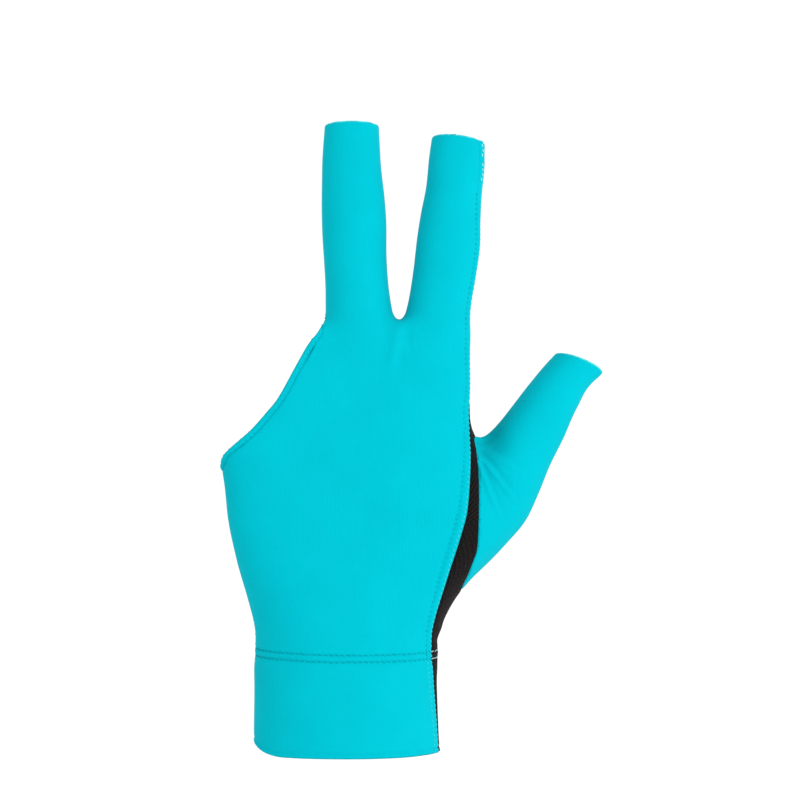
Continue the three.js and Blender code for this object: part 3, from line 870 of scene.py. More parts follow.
# a cloth edge dips in a strip along its seam, and a row of stitches in a groove of its own;
# the cloth puckers with each stitch and swells between the edge and the row
plainEdge = {"edgeDip": 0.30, "edgeWidth": 0.7}
hemGroove = {"row": rowAway["hem"], "rowDip": 0.32, "rowWidth": 0.45, "pitch": rowPitch["hem"],
             "pucker": 0.2, "swell": 0.10}
besideSeam = {
    "back_panel": {
        "side": {"edgeDip": 0.22, "edgeWidth": 0.5, "row": "side", "rowDip": 0.40, "rowWidth": 0.65,
                 "pitch": rowPitch["side"], "pucker": 0.45, "swell": 0.22},
        "little": plainEdge,
        "middle": plainEdge,
        "fork": plainEdge,
        "cuff": {"edgeDip": 0.20, "edgeWidth": 0.5, "row": rowAway["cuffAbove"], "rowDip": 0.32,
                 "rowWidth": 0.55, "pitch": rowPitch["cuff"], "pucker": 0.45, "swell": 0.06},
        "binding": {"edgeDip": 0.16, "edgeWidth": 0.6},
    },
    "cuff_back": {
        "side": {"edgeDip": 0.22, "edgeWidth": 0.5, "row": "side", "rowDip": 0.22, "rowWidth": 0.60,
                 "pitch": rowPitch["side"], "pucker": 0.5, "swell": 0.14},
        "little": plainEdge,
        "cuff": {"row": rowAway["cuffBelow"], "rowDip": 0.32, "rowWidth": 0.55, "pitch": rowPitch["cuff"],
                 "pucker": 0.35, "swell": 0.0},
        "wrist": hemGroove,
    },
    "cuff_palm": {
        "side": {"edgeDip": 0.30, "edgeWidth": 0.8},
        "little": plainEdge,
        "cuff": {"row": rowAway["cuffBelow"], "rowDip": 0.26, "rowWidth": 0.60, "pitch": rowPitch["wrap"],
                 "pucker": 0.3, "swell": 0.0},
        "wrist": hemGroove,
    },
    "palm_panel": {
        "side": {"edgeDip": 0.38, "edgeWidth": 0.8},
        "little": plainEdge,
        "cuff": {"edgeDip": 0.15, "edgeWidth": 0.5, "row": rowAway["cuffAbove"], "rowDip": 0.24,
                 "rowWidth": 0.60, "pitch": rowPitch["wrap"], "pucker": 0.3, "swell": 0.08},
        "thumb": plainEdge,
        "fronts": plainEdge,
        "binding": {"edgeDip": 0.25, "edgeWidth": 0.6},
    },
    "finger_fronts": {
        "side": {"edgeDip": 0.38, "edgeWidth": 0.8},
        "middle": plainEdge,
        "fork": plainEdge,
        "fronts": {"edgeDip": 0.20, "edgeWidth": 0.6, "row": rowAway["plain"], "rowDip": 0.18,
                   "rowWidth": 0.5, "pitch": rowPitch["plain"], "pucker": 0.4, "swell": 0.08},
    },
    "thumb_stall": {
        "thumb": {"edgeDip": 0.20, "edgeWidth": 0.6, "row": rowAway["plain"], "rowDip": 0.14,
                  "rowWidth": 0.5, "pitch": rowPitch["plain"], "pucker": 0.4, "swell": 0.08,
                  "rearOnly": True},
    },
    "opening_binding": {
        "opening": {"row": rowAway["binding"], "rowDip": 0.26, "rowWidth": 0.30,
                    "pitch": rowPitch["binding"], "pucker": 0.4, "swell": 0.10},
        "binding": {"edgeDip": 0.12, "edgeWidth": 0.35},
    },
}

# folds push the cloth in or out round one place in X and Z, on one side of the glove or on both
folds = {
    "thumb_stall": [
        {"at": (46.5, 102.5), "reach": (6.5, 5.5), "rise": -1.8, "facing": "front"},
        {"at": (85.0, 126.5), "reach": (2.3, 2.3), "rise": 0.35, "facing": "both"},
    ],
    "palm_panel": [
        {"at": (31.0, 41.0), "reach": (4.0, 1.9), "rise": 0.28, "facing": "both"},
        {"at": (31.0, 36.8), "reach": (4.0, 1.5), "rise": -0.28, "facing": "both"},
    ],
}
creaseDip = {"share": 0.6, "away": 1.4}  # the dip above a ridge, as shares of its rise and width
cuffFlare = {"x": 31.5, "height": 26.0, "reach": 3.5, "out": 1.3}  # where the cuff's hem stands out

# slow waves of the worn cloth: their height, their lengths across and up, and how these wander
waves = {"height": 0.10, "across": 4.7, "acrossWander": 1.7, "acrossEach": 9.1,
         "up": 6.3, "upWander": 1.3, "upEach": 7.7, "deepEach": 5.0}


def rowPlace(row, points):
    if row == "side":
        share = smoothstep(points[:, 2], sideRow["from"], sideRow["until"])
        return sideRow["low"] + (sideRow["high"] - sideRow["low"]) * share
    return np.full(len(points), row)


def reliefOf(panel, points, normals):
    # height of the cloth over the plain form, in millimetres
    x, y, z = points.T
    height = waves["height"] * (
        np.sin(x / waves["across"] + waves["acrossWander"] * np.sin(z / waves["acrossEach"]))
        * np.sin(z / waves["up"] + waves["upWander"] * np.sin(x / waves["upEach"] + y / waves["deepEach"])))
    for name, look in besideSeam[panel].items():
        away, along = awayFrom(name, points)
        height -= look.get("edgeDip", 0) * np.exp(-(away / look.get("edgeWidth", 1)) ** 2)
        if "row" in look:
            row = rowPlace(look["row"], points)
            ripple = 1 + look["pucker"] * np.cos(2 * math.pi * along / look["pitch"])
            dip = look["rowDip"] * ripple * np.exp(-((away - row) / look["rowWidth"]) ** 2)
            swell = look["swell"] * np.sin(math.pi * np.clip(away / row, 0, 1))
            shown = smoothstep(normals[:, 1], -0.1, 0.3) if look.get("rearOnly") else 1
            height += (swell - dip) * shown
    facing = smoothstep(-normals[:, 1], 0.05, 0.45)
    for crease in creases.get(panel, []):
        along, _, across = acrossCrease(crease, points)
        taper = smoothstep(along, -0.08, 0.12) * (1 - smoothstep(along, 1 - crease["fade"], 1.05))
        above = across / crease["width"]
        wave = np.exp(-above ** 2) - creaseDip["share"] * np.exp(-(above - creaseDip["away"]) ** 2)
        height += crease["rise"] * facing * taper * wave
    for fold in folds.get(panel, []):
        shown = facing if fold["facing"] == "front" else 1
        height += fold["rise"] * shown * np.exp(-((x - fold["at"][0]) / fold["reach"][0]) ** 2
                                                - ((z - fold["at"][1]) / fold["reach"][1]) ** 2)
    if panel in ("cuff_back", "cuff_palm"):
        low = np.clip(1 - z / cuffFlare["height"], 0, 1) ** 2
        height += cuffFlare["out"] * low * np.exp(-((x - cuffFlare["x"]) / cuffFlare["reach"]) ** 2)
    return height


# cloth directions, so that the knit runs along palm and stalls and round them
def roundSection(across, deep, halfWidth, halfDepth, rear):
    # arc along an ellipse from the middle of its front face, or of its rear face where rear is true
    angle = np.arctan2(across / halfWidth, np.where(rear, deep, -deep) / halfDepth)
    steps = np.linspace(0, 1, 17)[None, :] * angle[:, None]
    speed = np.hypot(halfWidth[:, None] * np.cos(steps), halfDepth[:, None] * np.sin(steps))
    return ((speed[:, 1:] + speed[:, :-1]) / 2).mean(1) * angle


def clothPlaces(panel, points):
    # where each point lies on the flat cloth: across and along, in millimetres
    rear = panel in ("palm_panel", "finger_fronts", "cuff_palm")
    frames = []
    if panel != "thumb_stall":
        little, thumb, back, palm, _ = readTable(
            palmSections, (points[:, 2] - glove["cuffHeight"]) / glove["palmLength"])
        low, high = -acrossPalm(little), acrossPalm(thumb)
        front, behind = depthInPalm(back), depthInPalm(palm)
        middle = (low + high) / 2
        arc = roundSection(points[:, 0] - middle, points[:, 1] - (behind - front) / 2,
                           (high - low) / 2, (front + behind) / 2, rear)
        frames.append((palmForm(points), arc + middle, points[:, 2]))
    stalls = [thumbStall] if panel == "thumb_stall" else [middleStall, indexStall]
    for stall in stalls:
        across, behind, up, along = alongStall(stall, points)
        little, thumb, back, palm = readTable(stall["sections"], along)
        middle = (little + thumb) / 2 * stall["width"]
        deep = behind - (palm - back) / 2 * stall["depth"]
        if panel == "thumb_stall":  # the only panel that runs all the way round
            rear = deep > 0
        arc = roundSection(across - middle, deep, (thumb - little) / 2 * stall["width"],
                           (back + palm) / 2 * stall["depth"], rear)
        frames.append((stallForm(stall, points), arc + middle + stall["x"], up + stall["z"]))
    nearest = np.min([frame[0] for frame in frames], axis=0)
    weights = [np.exp(-(frame[0] - nearest) / 2) for frame in frames]
    total = sum(weights)
    return np.stack([sum(w * frame[k] for w, frame in zip(weights, frames)) / total for k in (1, 2)], 1)


# panels: each gets thickness, rounded edges and its relief
def loopsOf(tris):
    # closed borders of a panel, each walked with the cloth on its left
    pairs = np.stack([tris, np.roll(tris, -1, axis=1)], 2).reshape(-1, 2)
    size = int(tris.max()) + 1
    keys = np.minimum(pairs[:, 0], pairs[:, 1]) * size + np.maximum(pairs[:, 0], pairs[:, 1])
    _, first, count = np.unique(keys, return_index=True, return_counts=True)
    following = {}
    for a, b in pairs[first[count == 1]].tolist():
        following.setdefault(a, []).append(b)
    loops = []
    while following:
        start = next(iter(following))
        loop = [start]
        while True:
            onward = following[loop[-1]]
            step = onward.pop()
            if not onward:
                del following[loop[-1]]
            if step == start:
                break
            loop.append(step)
        loops.append(np.array(loop))
    return loops


rims = {
    "sewn": {"pull": 0.30, "bulge": 0.37},  # a cloth edge in a seam rounds over beside its neighbour
    "flush": {"pull": 0.02, "bulge": 0.10},  # under the rows of stitches at the top of the cuff
    "folded": {"pull": 0.10, "bulge": 0.16},  # along the binding
    "open": {"pull": 0.45, "bulge": 0.42},
    "steps": 5,
}
# double cloth is lifted off the form, except beside the top of the cuff
cloth = {
    "single": {"thickness": 1.1, "lift": 0.0},
    "double": {"thickness": 1.7, "lift": 0.3},
}


def besideCuffTop(points):
    # from 0 at the top of the cuff to 1 away from it
    return smoothstep(np.abs(points[:, 2] - glove["cuffHeight"]), 0.3, 5)



def panelCloth(panel, layers):
    # a panel with its relief, its thickness and a rounded rim along each border
    thickness = layers["thickness"]
    tris = clothTris[panelOf == panelNames.index(panel)]
    used, local = np.unique(tris, return_inverse=True)
    tris = local.reshape(-1, 3)
    points = clothPoints[used]
    normals = clothNormals[used]
    marks = {name: onLine[name][used] for name in fieldNames}
    opened = np.any([marks[name] for name in openLines], axis=0)
    kinds = np.select([opened, marks["cuffTop"] & ~marks["back"], marks["binding"]], [0, 1, 2], 3)
    ways = [rims[kind] for kind in ("open", "flush", "folded", "sewn")]
    pull = np.array([way["pull"] for way in ways])[kinds][:, None]
    bulge = np.array([way["bulge"] for way in ways])[kinds][:, None]
    height = reliefOf(panel, points, normals) + layers["lift"] * besideCuffTop(points)
    outward = np.zeros_like(points)
    loops = loopsOf(tris)
    for loop in loops:
        place = points[loop]
        ahead = unit(np.roll(place, -1, axis=0) - np.roll(place, 1, axis=0))
        side = np.cross(ahead, normals[loop])
        for _ in range(3):
            side = np.roll(side, 1, axis=0) + 2 * side + np.roll(side, -1, axis=0)
        outward[loop] = unit(side)
    flat = points + normals * height[:, None]
    outer = flat - outward * pull
    inner = outer - normals * thickness
    count = len(points)
    places = [outer, inner]
    faces = [tris, tris[:, ::-1] + count]
    source = [np.arange(count), np.arange(count)]
    base = 2 * count
    for loop in loops:
        middle = outer[loop] - normals[loop] * thickness / 2
        rings = [loop]
        for k in range(1, rims["steps"]):
            angle = math.pi * k / rims["steps"]
            places.append(middle + normals[loop] * thickness / 2 * math.cos(angle)
                          + outward[loop] * bulge[loop] * math.sin(angle))
            rings.append(base + np.arange(len(loop)))
            source.append(loop)
            base += len(loop)
        rings.append(loop + count)
        for upper, lower in zip(rings, rings[1:]):
            a, b = upper, np.roll(upper, -1)
            c, d = np.roll(lower, -1), lower
            faces.append(np.stack([b, a, d], 1))
            faces.append(np.stack([b, d, c], 1))
    source = np.concatenate(source)
    cutAway = np.min([awayFrom(name, points, 3.0)[0] for name in cutLines], axis=0)
    a, b, c = points[tris].transpose(1, 0, 2)
    return {
        "places": np.vstack(places), "faces": np.vstack(faces),
        "area": np.linalg.norm(np.cross(b - a, c - a), axis=1).sum() / 2,
        "weave": clothPlaces(panel, points)[source], "cutAway": np.minimum(cutAway, 9)[source],
    }


def newObject(name, data, place=(0, 0, 0)):
    made = bpy.data.objects.new(name, data)
    made.location = place
    scene.collection.objects.link(made)
    return made


def newMesh(name, places, faces, material):
    made = bpy.data.meshes.new(name)
    made.from_pydata(places, [], faces)
    made.polygons.foreach_set("use_smooth", [True] * len(made.polygons))
    made.materials.append(material)
    made.update()
    return made


def newPiece(name, places, faces, material):
    # a piece of the glove, from places in millimetres
    piece = newObject(name, newMesh(name, (places / 1000).tolist(), faces.tolist(), material))
    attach(piece, "root")
    return piece


def keepOnPoints(piece, name, kind, values):
    # numbers on the points for the materials to read; kind is vector or value
    layer = piece.data.attributes.new(name, "FLOAT_VECTOR" if kind == "vector" else "FLOAT", "POINT")
    layer.data.foreach_set(kind, np.ravel(values))


class Nodes:
    # short ways to add and join shader nodes

    def __init__(self, name):
        self.material = bpy.data.materials.new(name)
        self.material.use_nodes = True
        self.tree = self.material.node_tree
        self.shader = self.tree.nodes["Principled BSDF"]

    def add(self, kind, values=None, **settings):
        node = self.tree.nodes.new(kind)
        for name, value in settings.items():
            setattr(node, name, value)
        for name, value in (values or {}).items():
            self.put(node.inputs[name], value)
        return node

    def put(self, socket, value):
        if isinstance(value, bpy.types.NodeSocket):
            self.tree.links.new(value, socket)
        else:
            socket.default_value = value

    def math(self, operation, a, b=0.0, c=0.0):
        return self.add("ShaderNodeMath", {0: a, 1: b, 2: c}, operation=operation).outputs[0]

    def noise(self, place, scale, detail=2.0):
        node = self.add("ShaderNodeTexNoise", {"Vector": place, "Scale": scale, "Detail": detail,
                                               "Roughness": 0.5})
        return node.outputs["Fac"]

    def mix(self, share, a, b):
        node = self.add("ShaderNodeMix", data_type="RGBA")
        self.put(node.inputs["Factor"], share)
        self.put(node.inputs["A"], a)
        self.put(node.inputs["B"], b)
        return node.outputs["Result"]

    def range(self, value, low, high, start, end):
        # a value that runs from low to high, as one that runs from start to end
        return self.add("ShaderNodeMapRange", {"Value": value, "From Min": low, "From Max": high,
                                               "To Min": start, "To Max": end}).outputs["Result"]

    def clothPlace(self):
        # where a point lies on the flat cloth: both ways, across and along
        weave = self.add("ShaderNodeAttribute", attribute_name="weave").outputs["Vector"]
        parts = self.add("ShaderNodeSeparateXYZ", {"Vector": weave})
        return weave, parts.outputs["X"], parts.outputs["Y"]

    def finish(self, color, height, look, sockets):
        # the height becomes bump, and plain values go straight into the shader's sockets
        bump = self.add("ShaderNodeBump", {"Strength": look.get("bump", 1.0), "Distance": look["depth"],
                                           "Height": height})
        self.put(self.shader.inputs["Base Color"], color)
        self.put(self.shader.inputs["Normal"], bump.outputs["Normal"])
        self.put(self.shader.inputs["Specular IOR Level"], look["specular"])
        for name, value in sockets.items():
            self.put(self.shader.inputs[name], value)
        return self.material


knit = {
    "name": "turquoiseKnit",
    "color": (0.0, 0.448, 0.530, 1),
    "deep": (0.0, 0.400, 0.480, 1),  # darker tone, reached at random through the cloud and grain, and as painted shade in the hollows of the loops
    "pale": (0.16, 0.74, 0.78, 1),  # lighter colour along the cut tips of the stalls
    "paleFrom": 0.15,  # they are pale up to here from the cut, and plain from there
    "plainFrom": 0.70,
    "paleShare": 0.85,
    "wale": 0.52,  # width of a column of loops, in millimetres
    "course": 0.42,  # height of a row of loops
    "slant": 1.2,  # how far a row bends down towards the middle of a column
    "cloudScale": 0.07,
    "grainScale": 2.6,
    "fuzzScale": 9.0,
    "depth": 0.000025,
    "roughness": 0.79,  # of the smoothest places
    "specular": 0.012,
    "sheen": 0.025,
    "sheenRoughness": 0.45,
    "sheenTint": (0.55, 1.0, 1.0, 1),
}


def knitMaterial(look):
    nodes = Nodes(look["name"])
    weave, across, along = nodes.clothPlace()
    # each loop is a small V, so the rows bend down towards the middle of a column
    wale = nodes.math("PINGPONG", nodes.math("DIVIDE", across, look["wale"]), 0.5)
    slant = nodes.math("MULTIPLY", wale, look["slant"])
    course = nodes.math("ADD", nodes.math("DIVIDE", along, look["course"]), slant)
    ridge = nodes.math("SINE", nodes.math("MULTIPLY", course, 2 * math.pi))
    groove = nodes.math("SMOOTH_MIN", nodes.math("MULTIPLY", wale, 4.0), 1.0, 0.3)
    height = nodes.math("MULTIPLY_ADD", ridge, 0.35, groove)
    cloud = nodes.noise(weave, look["cloudScale"], 3.0)
    grain = nodes.noise(weave, look["grainScale"])
    shade = nodes.math("MULTIPLY_ADD", cloud, 0.9, nodes.math("MULTIPLY", grain, 0.5))
    # painted shade: the colour runs darker in the hollows of the loops, where the height is low
    shade = nodes.math("MULTIPLY_ADD", height, -0.05, shade)
    color = nodes.mix(nodes.range(shade, 0.25, 0.95, 0.0, 0.85), look["color"], look["deep"])
    cutAway = nodes.add("ShaderNodeAttribute", attribute_name="cutAway").outputs["Fac"]
    paleness = nodes.range(cutAway, look["paleFrom"], look["plainFrom"], look["paleShare"], 0.0)
    color = nodes.mix(paleness, color, look["pale"])
    relief = nodes.math("MULTIPLY_ADD", nodes.noise(weave, look["fuzzScale"]), 0.5, height)
    rough = nodes.math("MULTIPLY_ADD", grain, 0.12, look["roughness"])
    return nodes.finish(color, relief, look, {
        "Roughness": rough, "Sheen Weight": look["sheen"], "Sheen Roughness": look["sheenRoughness"],
        "Sheen Tint": look["sheenTint"]})


netting = {
    "name": "blackMesh",
    "color": (0.0098, 0.0076, 0.0080, 1),
    # painted shade: the holes are coloured darker for the shaded inside of the glove seen through them
    "holeShade": (0.0015, 0.0013, 0.0013, 1),
    "worn": (0.0150, 0.0112, 0.0118, 1),
    "pitch": 1.05,  # between holes, which stand in staggered rows
    "slant": 0.75,  # of the two sets of ribs that cross between them
    "grainScale": 1.7,
    "depth": 0.0002,
    "roughness": 0.73,  # of the smoothest places
    "specular": 0.08,
    "sheen": 0.01,
}


def nettingMaterial(look):
    nodes = Nodes(look["name"])
    weave, across, along = nodes.clothPlace()
    turn = 2 * math.pi / look["pitch"]
    first, other = [
        nodes.math("COSINE", nodes.math("MULTIPLY", nodes.math("MULTIPLY_ADD", along, slant, across), turn))
        for slant in (look["slant"], -look["slant"])]
    lattice = nodes.math("MULTIPLY_ADD", other, 0.45, nodes.math("MULTIPLY", first, 0.75))
    thread = nodes.math("SINE", nodes.math("MULTIPLY", along, turn * 3.1))
    height = nodes.math("MULTIPLY_ADD", thread, 0.12, lattice)
    grain = nodes.noise(weave, look["grainScale"])
    color = nodes.mix(nodes.math("MULTIPLY", grain, 0.5), look["color"], look["worn"])
    # painted shade in the holes between the ribs
    color = nodes.mix(nodes.range(lattice, -0.95, 0.05, 1.0, 0.0), color, look["holeShade"])
    rough = nodes.math("MULTIPLY_ADD", grain, 0.15, look["roughness"])
    return nodes.finish(color, height, look, {"Roughness": rough, "Sheen Weight": look["sheen"]})


threads = {
    "edgeThread": {"color": (0.06, 0.62, 0.68, 1), "dark": (0.01, 0.50, 0.57, 1)},
    # painted highlight: the edge thread coloured lighter where light catches it near the index stall's tip
    "paintedHighlightThread": {"color": (0.42, 0.82, 0.83, 1), "dark": (0.16, 0.66, 0.70, 1)},
    # painted shade: these two threads are coloured darker than the cloth, for the shade in the grooves they
    # sink into
    "rowThread": {"color": (0.0, 0.33, 0.40, 1), "dark": (0.0, 0.26, 0.32, 1)},
    "shadedSeamThread": {"color": (0.0, 0.34, 0.41, 1), "dark": (0.0, 0.27, 0.33, 1)},
    "paleThread": {"color": (0.40, 0.56, 0.53, 1), "dark": (0.26, 0.40, 0.39, 1)},
}
threadTwist = {"slant": 11.0, "bump": 0.8, "depth": 0.00005, "roughness": 0.7, "specular": 0.04}


def threadMaterial(name, look):
    # two plies twisted round each other
    nodes = Nodes(name)
    _, across, along = nodes.clothPlace()
    twist = nodes.math("SINE", nodes.math("MULTIPLY_ADD", across, threadTwist["slant"], along))
    color = nodes.mix(nodes.math("MULTIPLY_ADD", twist, 0.35, 0.4), look["color"], look["dark"])
    return nodes.finish(color, twist, threadTwist, {"Roughness": threadTwist["roughness"]})


clothMaterials = {"stretch_knit": knitMaterial(knit), "palm_mesh": nettingMaterial(netting)}
threadMaterials = {name: threadMaterial(name, look) for name, look in threads.items()}
print("materials are ready")

panelPlans = {
    # flat is the size that the panel is cut to before it is stretched, in metres
    "back_panel": {"layers": "single", "slot": "stretch_knit", "flat": (0.115, 0.172)},
    "finger_fronts": {"layers": "single", "slot": "stretch_knit", "flat": (0.062, 0.092)},
    "palm_panel": {"layers": "single", "slot": "palm_mesh", "flat": (0.098, 0.115)},
    "thumb_stall": {"layers": "single", "slot": "stretch_knit", "flat": (0.072, 0.082)},
    "cuff_back": {"layers": "double", "slot": "stretch_knit", "flat": (0.076, 0.032)},
    "cuff_palm": {"layers": "double", "slot": "palm_mesh", "flat": (0.082, 0.032)},
    "opening_binding": {"layers": "double", "slot": "stretch_knit", "flat": None},
}
clothPieces = {}
for panel, plan in panelPlans.items():
    made = panelCloth(panel, cloth[plan["layers"]])
    material = clothMaterials[plan["slot"]]
    piece = newPiece(panel + "_cloth", made["places"], made["faces"], material)
    keepOnPoints(piece, "weave", "vector", np.pad(made["weave"], ((0, 0), (0, 1))))
    keepOnPoints(piece, "cutAway", "value", made["cutAway"])
    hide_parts(panel)
    clothPieces[panel] = piece
    print("panel", panel, "has", len(made["faces"]), "triangles and", round(made["area"]), "mm2 of cloth")


# stitches are short arched threads set along the seams
stitch = {
    "around": 6,  # sides of a thread
    "places": (-1.0, -0.93, -0.7, -0.3, 0.3, 0.7, 0.93, 1.0),  # along half its length
    "fullness": (0.25, 0.62, 0.92, 1.0, 1.0, 0.92, 0.62, 0.25),  # share of its width at each of them
    "flatness": 0.8,
    "onDouble": 0.25,  # how much further out it lies on double cloth
    "turn": 0.12,  # how far a stitch may turn, in radians, and shift sideways
    "wobble": 0.08,
    "missing": 0,  # share of the stitches that are left out
    "sink": 0.12,  # how far the ends of a stitch dive into the cloth
    "slot": "stretch_knit",
}


def threadMesh(middles, ahead, normals, look):
    # one small arched capsule for each stitch
    around = look["around"]
    steps = np.array(look["places"])
    half = steps * look["length"] / 2
    angle = np.arange(around) * 2 * math.pi / around
    sideways = np.cross(normals, ahead)
    girth = (sideways[:, None, None] * np.cos(angle)[None, None, :, None]
              + normals[:, None, None] * look["flatness"] * np.sin(angle)[None, None, :, None])
    place = (middles[:, None, None]
             + ahead[:, None, None] * half[None, :, None, None]
             - normals[:, None, None] * (look["sink"] * steps ** 2)[None, :, None, None]
             + look["width"] / 2 * np.array(look["fullness"])[None, :, None, None] * girth)
    rings = len(steps)
    base = (np.arange(len(middles)) * rings * around)[:, None]
    faces = []
    for r in range(rings - 1):
        for k in range(around):
            a, b = r * around + k, r * around + (k + 1) % around
            c, d = b + around, a + around
            faces.append(base + [a, b, c])
            faces.append(base + [a, c, d])
    top = (rings - 1) * around
    for k in range(1, around - 1):
        faces.append(base + [0, k + 1, k])
        faces.append(base + [top, top + k, top + k + 1])
    weave = np.zeros((len(middles), rings, around, 3))
    weave[..., 0] = half[None, :, None]
    weave[..., 1] = angle[None, None, :]
    return place.reshape(-1, 3), np.vstack(faces), weave


def sewRow(name, path, field, offset, panel, look):
    # stitches along a path, that far to the side where the field grows, on that panel's cloth
    look = {**stitch, **look}
    rng = np.random.default_rng(look["seed"])
    spots = evenLine(path, look["pitch"])
    ahead = unit(np.gradient(spots, axis=0))
    for _ in range(4):
        normals = unit(slopeOf(gloveForm, spots))
        side = slopeOf(field, spots, 0.05)
        side = unit(side - normals * (side * normals).sum(1)[:, None]
                    - ahead * (side * ahead).sum(1)[:, None])
        amount = offset(spots) if callable(offset) else np.full(len(spots), offset)
        spots = ontoForm(spots + side * (amount / 4)[:, None], 1)
    keep = rng.random(len(spots)) >= look["missing"]
    if "within" in look:
        keep &= look["within"](spots)
    spots, ahead = spots[keep], ahead[keep]
    normals = unit(slopeOf(gloveForm, spots))
    side = np.cross(normals, ahead)
    spots = spots + side * rng.uniform(-look["wobble"], look["wobble"], len(spots))[:, None]
    height = reliefOf(panel, spots, normals) + look["lift"]
    if panelPlans[panel]["layers"] == "double":
        height += look["onDouble"] * besideCuffTop(spots)
    turn = math.radians(look["slant"]) + rng.uniform(-look["turn"], look["turn"], len(spots))
    lay = unit(ahead * np.cos(turn)[:, None] + side * np.sin(turn)[:, None])
    lay = unit(lay - normals * (lay * normals).sum(1)[:, None])
    places, faces, weave = threadMesh(spots + normals * height[:, None], lay, normals, look)
    piece = newPiece(name, places, faces, threadMaterials[look["thread"]])
    keepOnPoints(piece, "weave", "vector", weave)
    sewn.setdefault(panel, []).append(piece)
    print("stitches", name, len(spots))


sewn = {}


def pathWithin(name, keep):
    # the part of a seam path that is kept, in one run
    path = seams[name]
    kept = np.flatnonzero(keep(path))
    gap = np.flatnonzero(np.diff(kept) > 1)
    if len(gap):  # a closed path can start in the middle of the part
        kept = np.concatenate([kept[gap[0] + 1:], kept[:gap[0] + 1]])
    return path[kept]


cuffTop = glove["cuffHeight"]
palmPart = pathWithin("side", lambda p: p[:, 2] > cuffTop + 0.4)
cuffPart = pathWithin("side", lambda p: (p[:, 2] < cuffTop - 1.2) & (p[:, 2] > 1.2))
edgeLook = {"pitch": rowPitch["side"], "length": 0.95, "width": 0.42, "lift": 0.06, "slant": 28,
            "thread": "edgeThread"}
rowLook = {"pitch": rowPitch["side"], "length": 1.05, "width": 0.40, "lift": 0.03, "slant": 8,
           "thread": "shadedSeamThread"}
# painted highlight: a lighter thread colour on the overlock high on the index stall
brightLook = {**edgeLook, "thread": "paintedHighlightThread", "lift": 0.12, "wobble": 0.35, "missing": 0.2}
brightFrom = 189.0  # above this height the overlock threads on the index stall get a painted highlight
tipClear = -1.2  # stitches stop this far before an open tip


def clearOf(tip, p):
    return seamFields[tip](p) < tipClear


def alongSide(p):
    return rowPlace("side", p)


sewRow("side_seam_edge", palmPart, onBack, rowAway["sideEdge"], "back_panel",
       {**edgeLook, "seed": 2, "within": lambda p: p[:, 2] < brightFrom})
sewRow("side_seam_bright", palmPart, onBack, rowAway["sideBright"], "back_panel",
       {**brightLook, "seed": 17, "within": lambda p: (p[:, 2] >= brightFrom) & clearOf("indexTip", p)})
sewRow("side_seam_row", palmPart, onBack, alongSide, "back_panel",
       {**rowLook, "seed": 3, "within": lambda p: p[:, 2] < brightFrom - 2})
sewRow("cuff_side_edge", cuffPart, onBack, rowAway["sideEdge"], "cuff_back", {**edgeLook, "seed": 4})
sewRow("cuff_side_row", cuffPart, onBack, alongSide, "cuff_back",
       {**edgeLook, "seed": 5, "slant": 10, "lift": 0.10})

# the two rows at the top of the cuff; on the palm side they are long pale wraps
cuffRow = {"pitch": rowPitch["cuff"], "length": 1.30, "width": 0.44, "lift": 0.02, "slant": -16,
           "thread": "rowThread"}
wrapRow = {"pitch": rowPitch["wrap"], "length": 3.1, "width": 0.42, "lift": 0.14, "sink": 0.10, "slant": 0,
           "thread": "paleThread", "slot": "palm_mesh"}
cuffFront = pathWithin("cuff", lambda p: onBack(p) > 0.4)
cuffRear = pathWithin("cuff", lambda p: onBack(p) < -0.4)
for name, path, away, panel, look, seed in [
        ("cuff_upper_row", cuffFront, rowAway["cuffAbove"], "back_panel", cuffRow, 6),
        ("cuff_lower_row", cuffFront, -rowAway["cuffBelow"], "cuff_back", cuffRow, 7),
        ("cuff_upper_wrap", cuffRear, rowAway["cuffAbove"], "palm_panel", wrapRow, 8),
        ("cuff_lower_wrap", cuffRear, -rowAway["cuffBelow"], "cuff_palm", wrapRow, 9)]:
    sewRow(name, path, aboveCuff, away, panel, {**look, "seed": seed})

bindingRow = {"pitch": rowPitch["binding"], "length": 1.20, "width": 0.36, "lift": 0.0, "slant": 6,
              "thread": "rowThread"}
bindingEnds = (3.0, -4.5)  # the row runs from here above the opening's low corner to there below its top
sewRow("binding_row", seams["opening"], inOpening, -rowAway["binding"], "opening_binding",
       {**bindingRow, "seed": 10, "within": lambda p: ((p[:, 2] > openingLowZ + bindingEnds[0])
                                                       & (p[:, 2] < openingTopZ + bindingEnds[1]))})
plainRow = {"pitch": rowPitch["plain"], "length": 1.4, "width": 0.38, "lift": 0.04, "slant": 6,
            "thread": "rowThread"}
sewRow("thumb_seam_row", seams["thumb"], inThumb, rowAway["plain"], "thumb_stall",
       {**plainRow, "seed": 11, "within": lambda p: slopeOf(gloveForm, p)[:, 1] > 0.15})
sewRow("front_seam_row", seams["fronts"], aboveFrontSeam, rowAway["plain"], "finger_fronts",
       {**plainRow, "seed": 12})

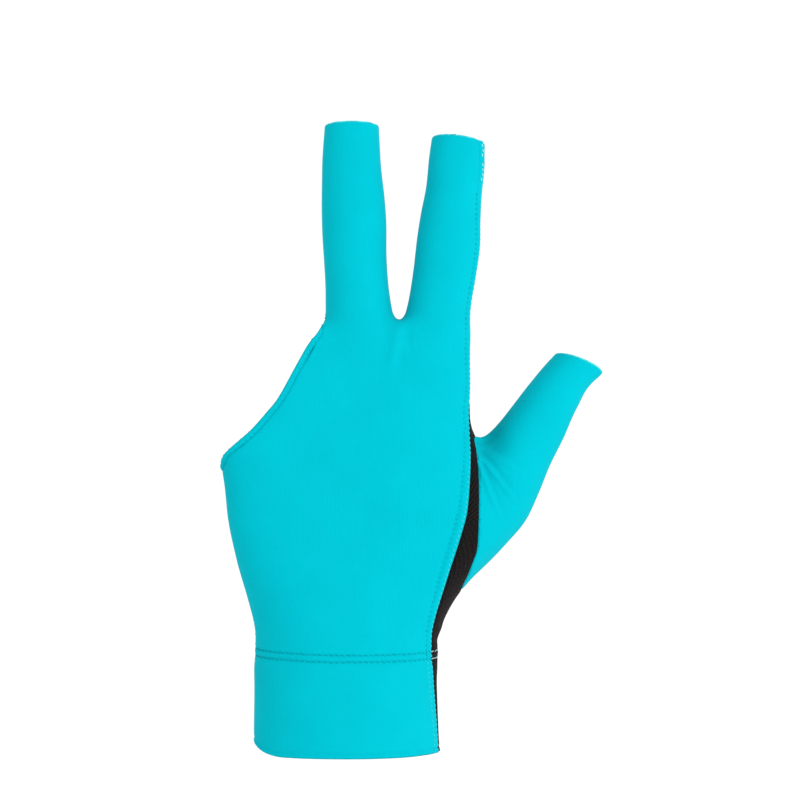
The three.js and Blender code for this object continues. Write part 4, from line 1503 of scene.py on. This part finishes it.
# stitches that cover the seams between the stalls and on the outer side
coverRow = {"pitch": rowPitch["covered"], "length": 1.0, "width": 0.44, "lift": 0.13, "slant": 26,
            "thread": "shadedSeamThread"}
sewRow("fork_seam_edge", seams["fork"], onBack, rowAway["covered"], "back_panel",
       {**coverRow, "seed": 13, "within": lambda p: clearOf("indexTip", p) & clearOf("middleTip", p)})
sewRow("middle_seam_edge", seams["middle"], onBack, rowAway["covered"], "back_panel",
       {**coverRow, "seed": 14, "within": lambda p: clearOf("middleTip", p)})
outerPalmPart = pathWithin("little", lambda p: p[:, 2] > cuffTop + 0.4)
outerCuffPart = pathWithin("little", lambda p: (p[:, 2] < cuffTop - 1.2) & (p[:, 2] > 5.5))
sewRow("little_seam_edge", outerPalmPart, onBack, rowAway["covered"], "back_panel", {**coverRow, "seed": 15})
sewRow("cuff_little_edge", outerCuffPart, onBack, rowAway["covered"], "cuff_back", {**coverRow, "seed": 16})

sewn.setdefault("back_panel", []).append(clothPieces["opening_binding"])
sewn["back_panel"] += sewn.pop("opening_binding")

# camera, light and floor
view = {
    "place": (0.018, -0.8, 0.117),
    "lens": 108,
    "sensor": 36,
    "worldStrength": 1.06,
    "keyPlace": (1.0, -1.05, 0.22),
    "keyAim": (0.02, 0, 0.11),
    "keySize": 0.8,
    "keyPower": 10.5,
}
camera = bpy.data.cameras.new("photoCamera")
camera.lens = view["lens"]
camera.sensor_width = view["sensor"]
scene.camera = newObject("photoCamera", camera, view["place"])
scene.camera.rotation_euler = (math.radians(90), 0, 0)
scene.view_settings.view_transform = "Standard"

world = bpy.data.worlds.new("softWhite")
world.use_nodes = True
world.node_tree.nodes["Background"].inputs["Color"].default_value = (1, 1, 1, 1)
world.node_tree.nodes["Background"].inputs["Strength"].default_value = view["worldStrength"]
scene.world = world

light = bpy.data.lights.new("softKey", "AREA")
light.shape = "SQUARE"
light.size = view["keySize"]
light.energy = view["keyPower"]
key = newObject("softKey", light, view["keyPlace"])
key.rotation_euler = (Vector(view["keyAim"]) - key.location).to_track_quat("-Z", "Y").to_euler()

sweep = {
    "level": -0.11,
    "across": 7.0,  # half its width
    "front": -7.0,
    "bend": 3.0,  # where the floor begins to curve up
    "round": 2.0,
    "top": 6.0,
    "pieces": 20,
    "pale": (0.965, 0.965, 0.965, 1),
    "paler": (0.985, 0.985, 0.985, 1),
    "roughness": 0.9,
    "specular": 0.1,
}


def paleSweep(look):
    # a floor that curves up into a backdrop, without a corner
    bend = [(look["bend"] + look["round"] * math.sin(a), look["round"] - look["round"] * math.cos(a))
            for a in np.linspace(0, math.pi / 2, look["pieces"])]
    run = [(look["front"], 0.0)] + bend + [(look["bend"] + look["round"], look["top"])]
    places = [(x, y, z) for y, z in run for x in (-look["across"], look["across"])]
    faces = [(2 * n, 2 * n + 1, 2 * n + 3, 2 * n + 2) for n in range(len(run) - 1)]
    nodes = Nodes("paleFloor")
    speckle = nodes.noise(nodes.add("ShaderNodeTexCoord").outputs["Object"], 3.0)
    nodes.put(nodes.shader.inputs["Base Color"], nodes.mix(speckle, look["pale"], look["paler"]))
    nodes.put(nodes.shader.inputs["Roughness"], look["roughness"])
    nodes.put(nodes.shader.inputs["Specular IOR Level"], look["specular"])
    newObject("pale_sweep", newMesh("pale_sweep", places, faces, nodes.material),
                       (0, 0, look["level"]))


paleSweep(sweep)
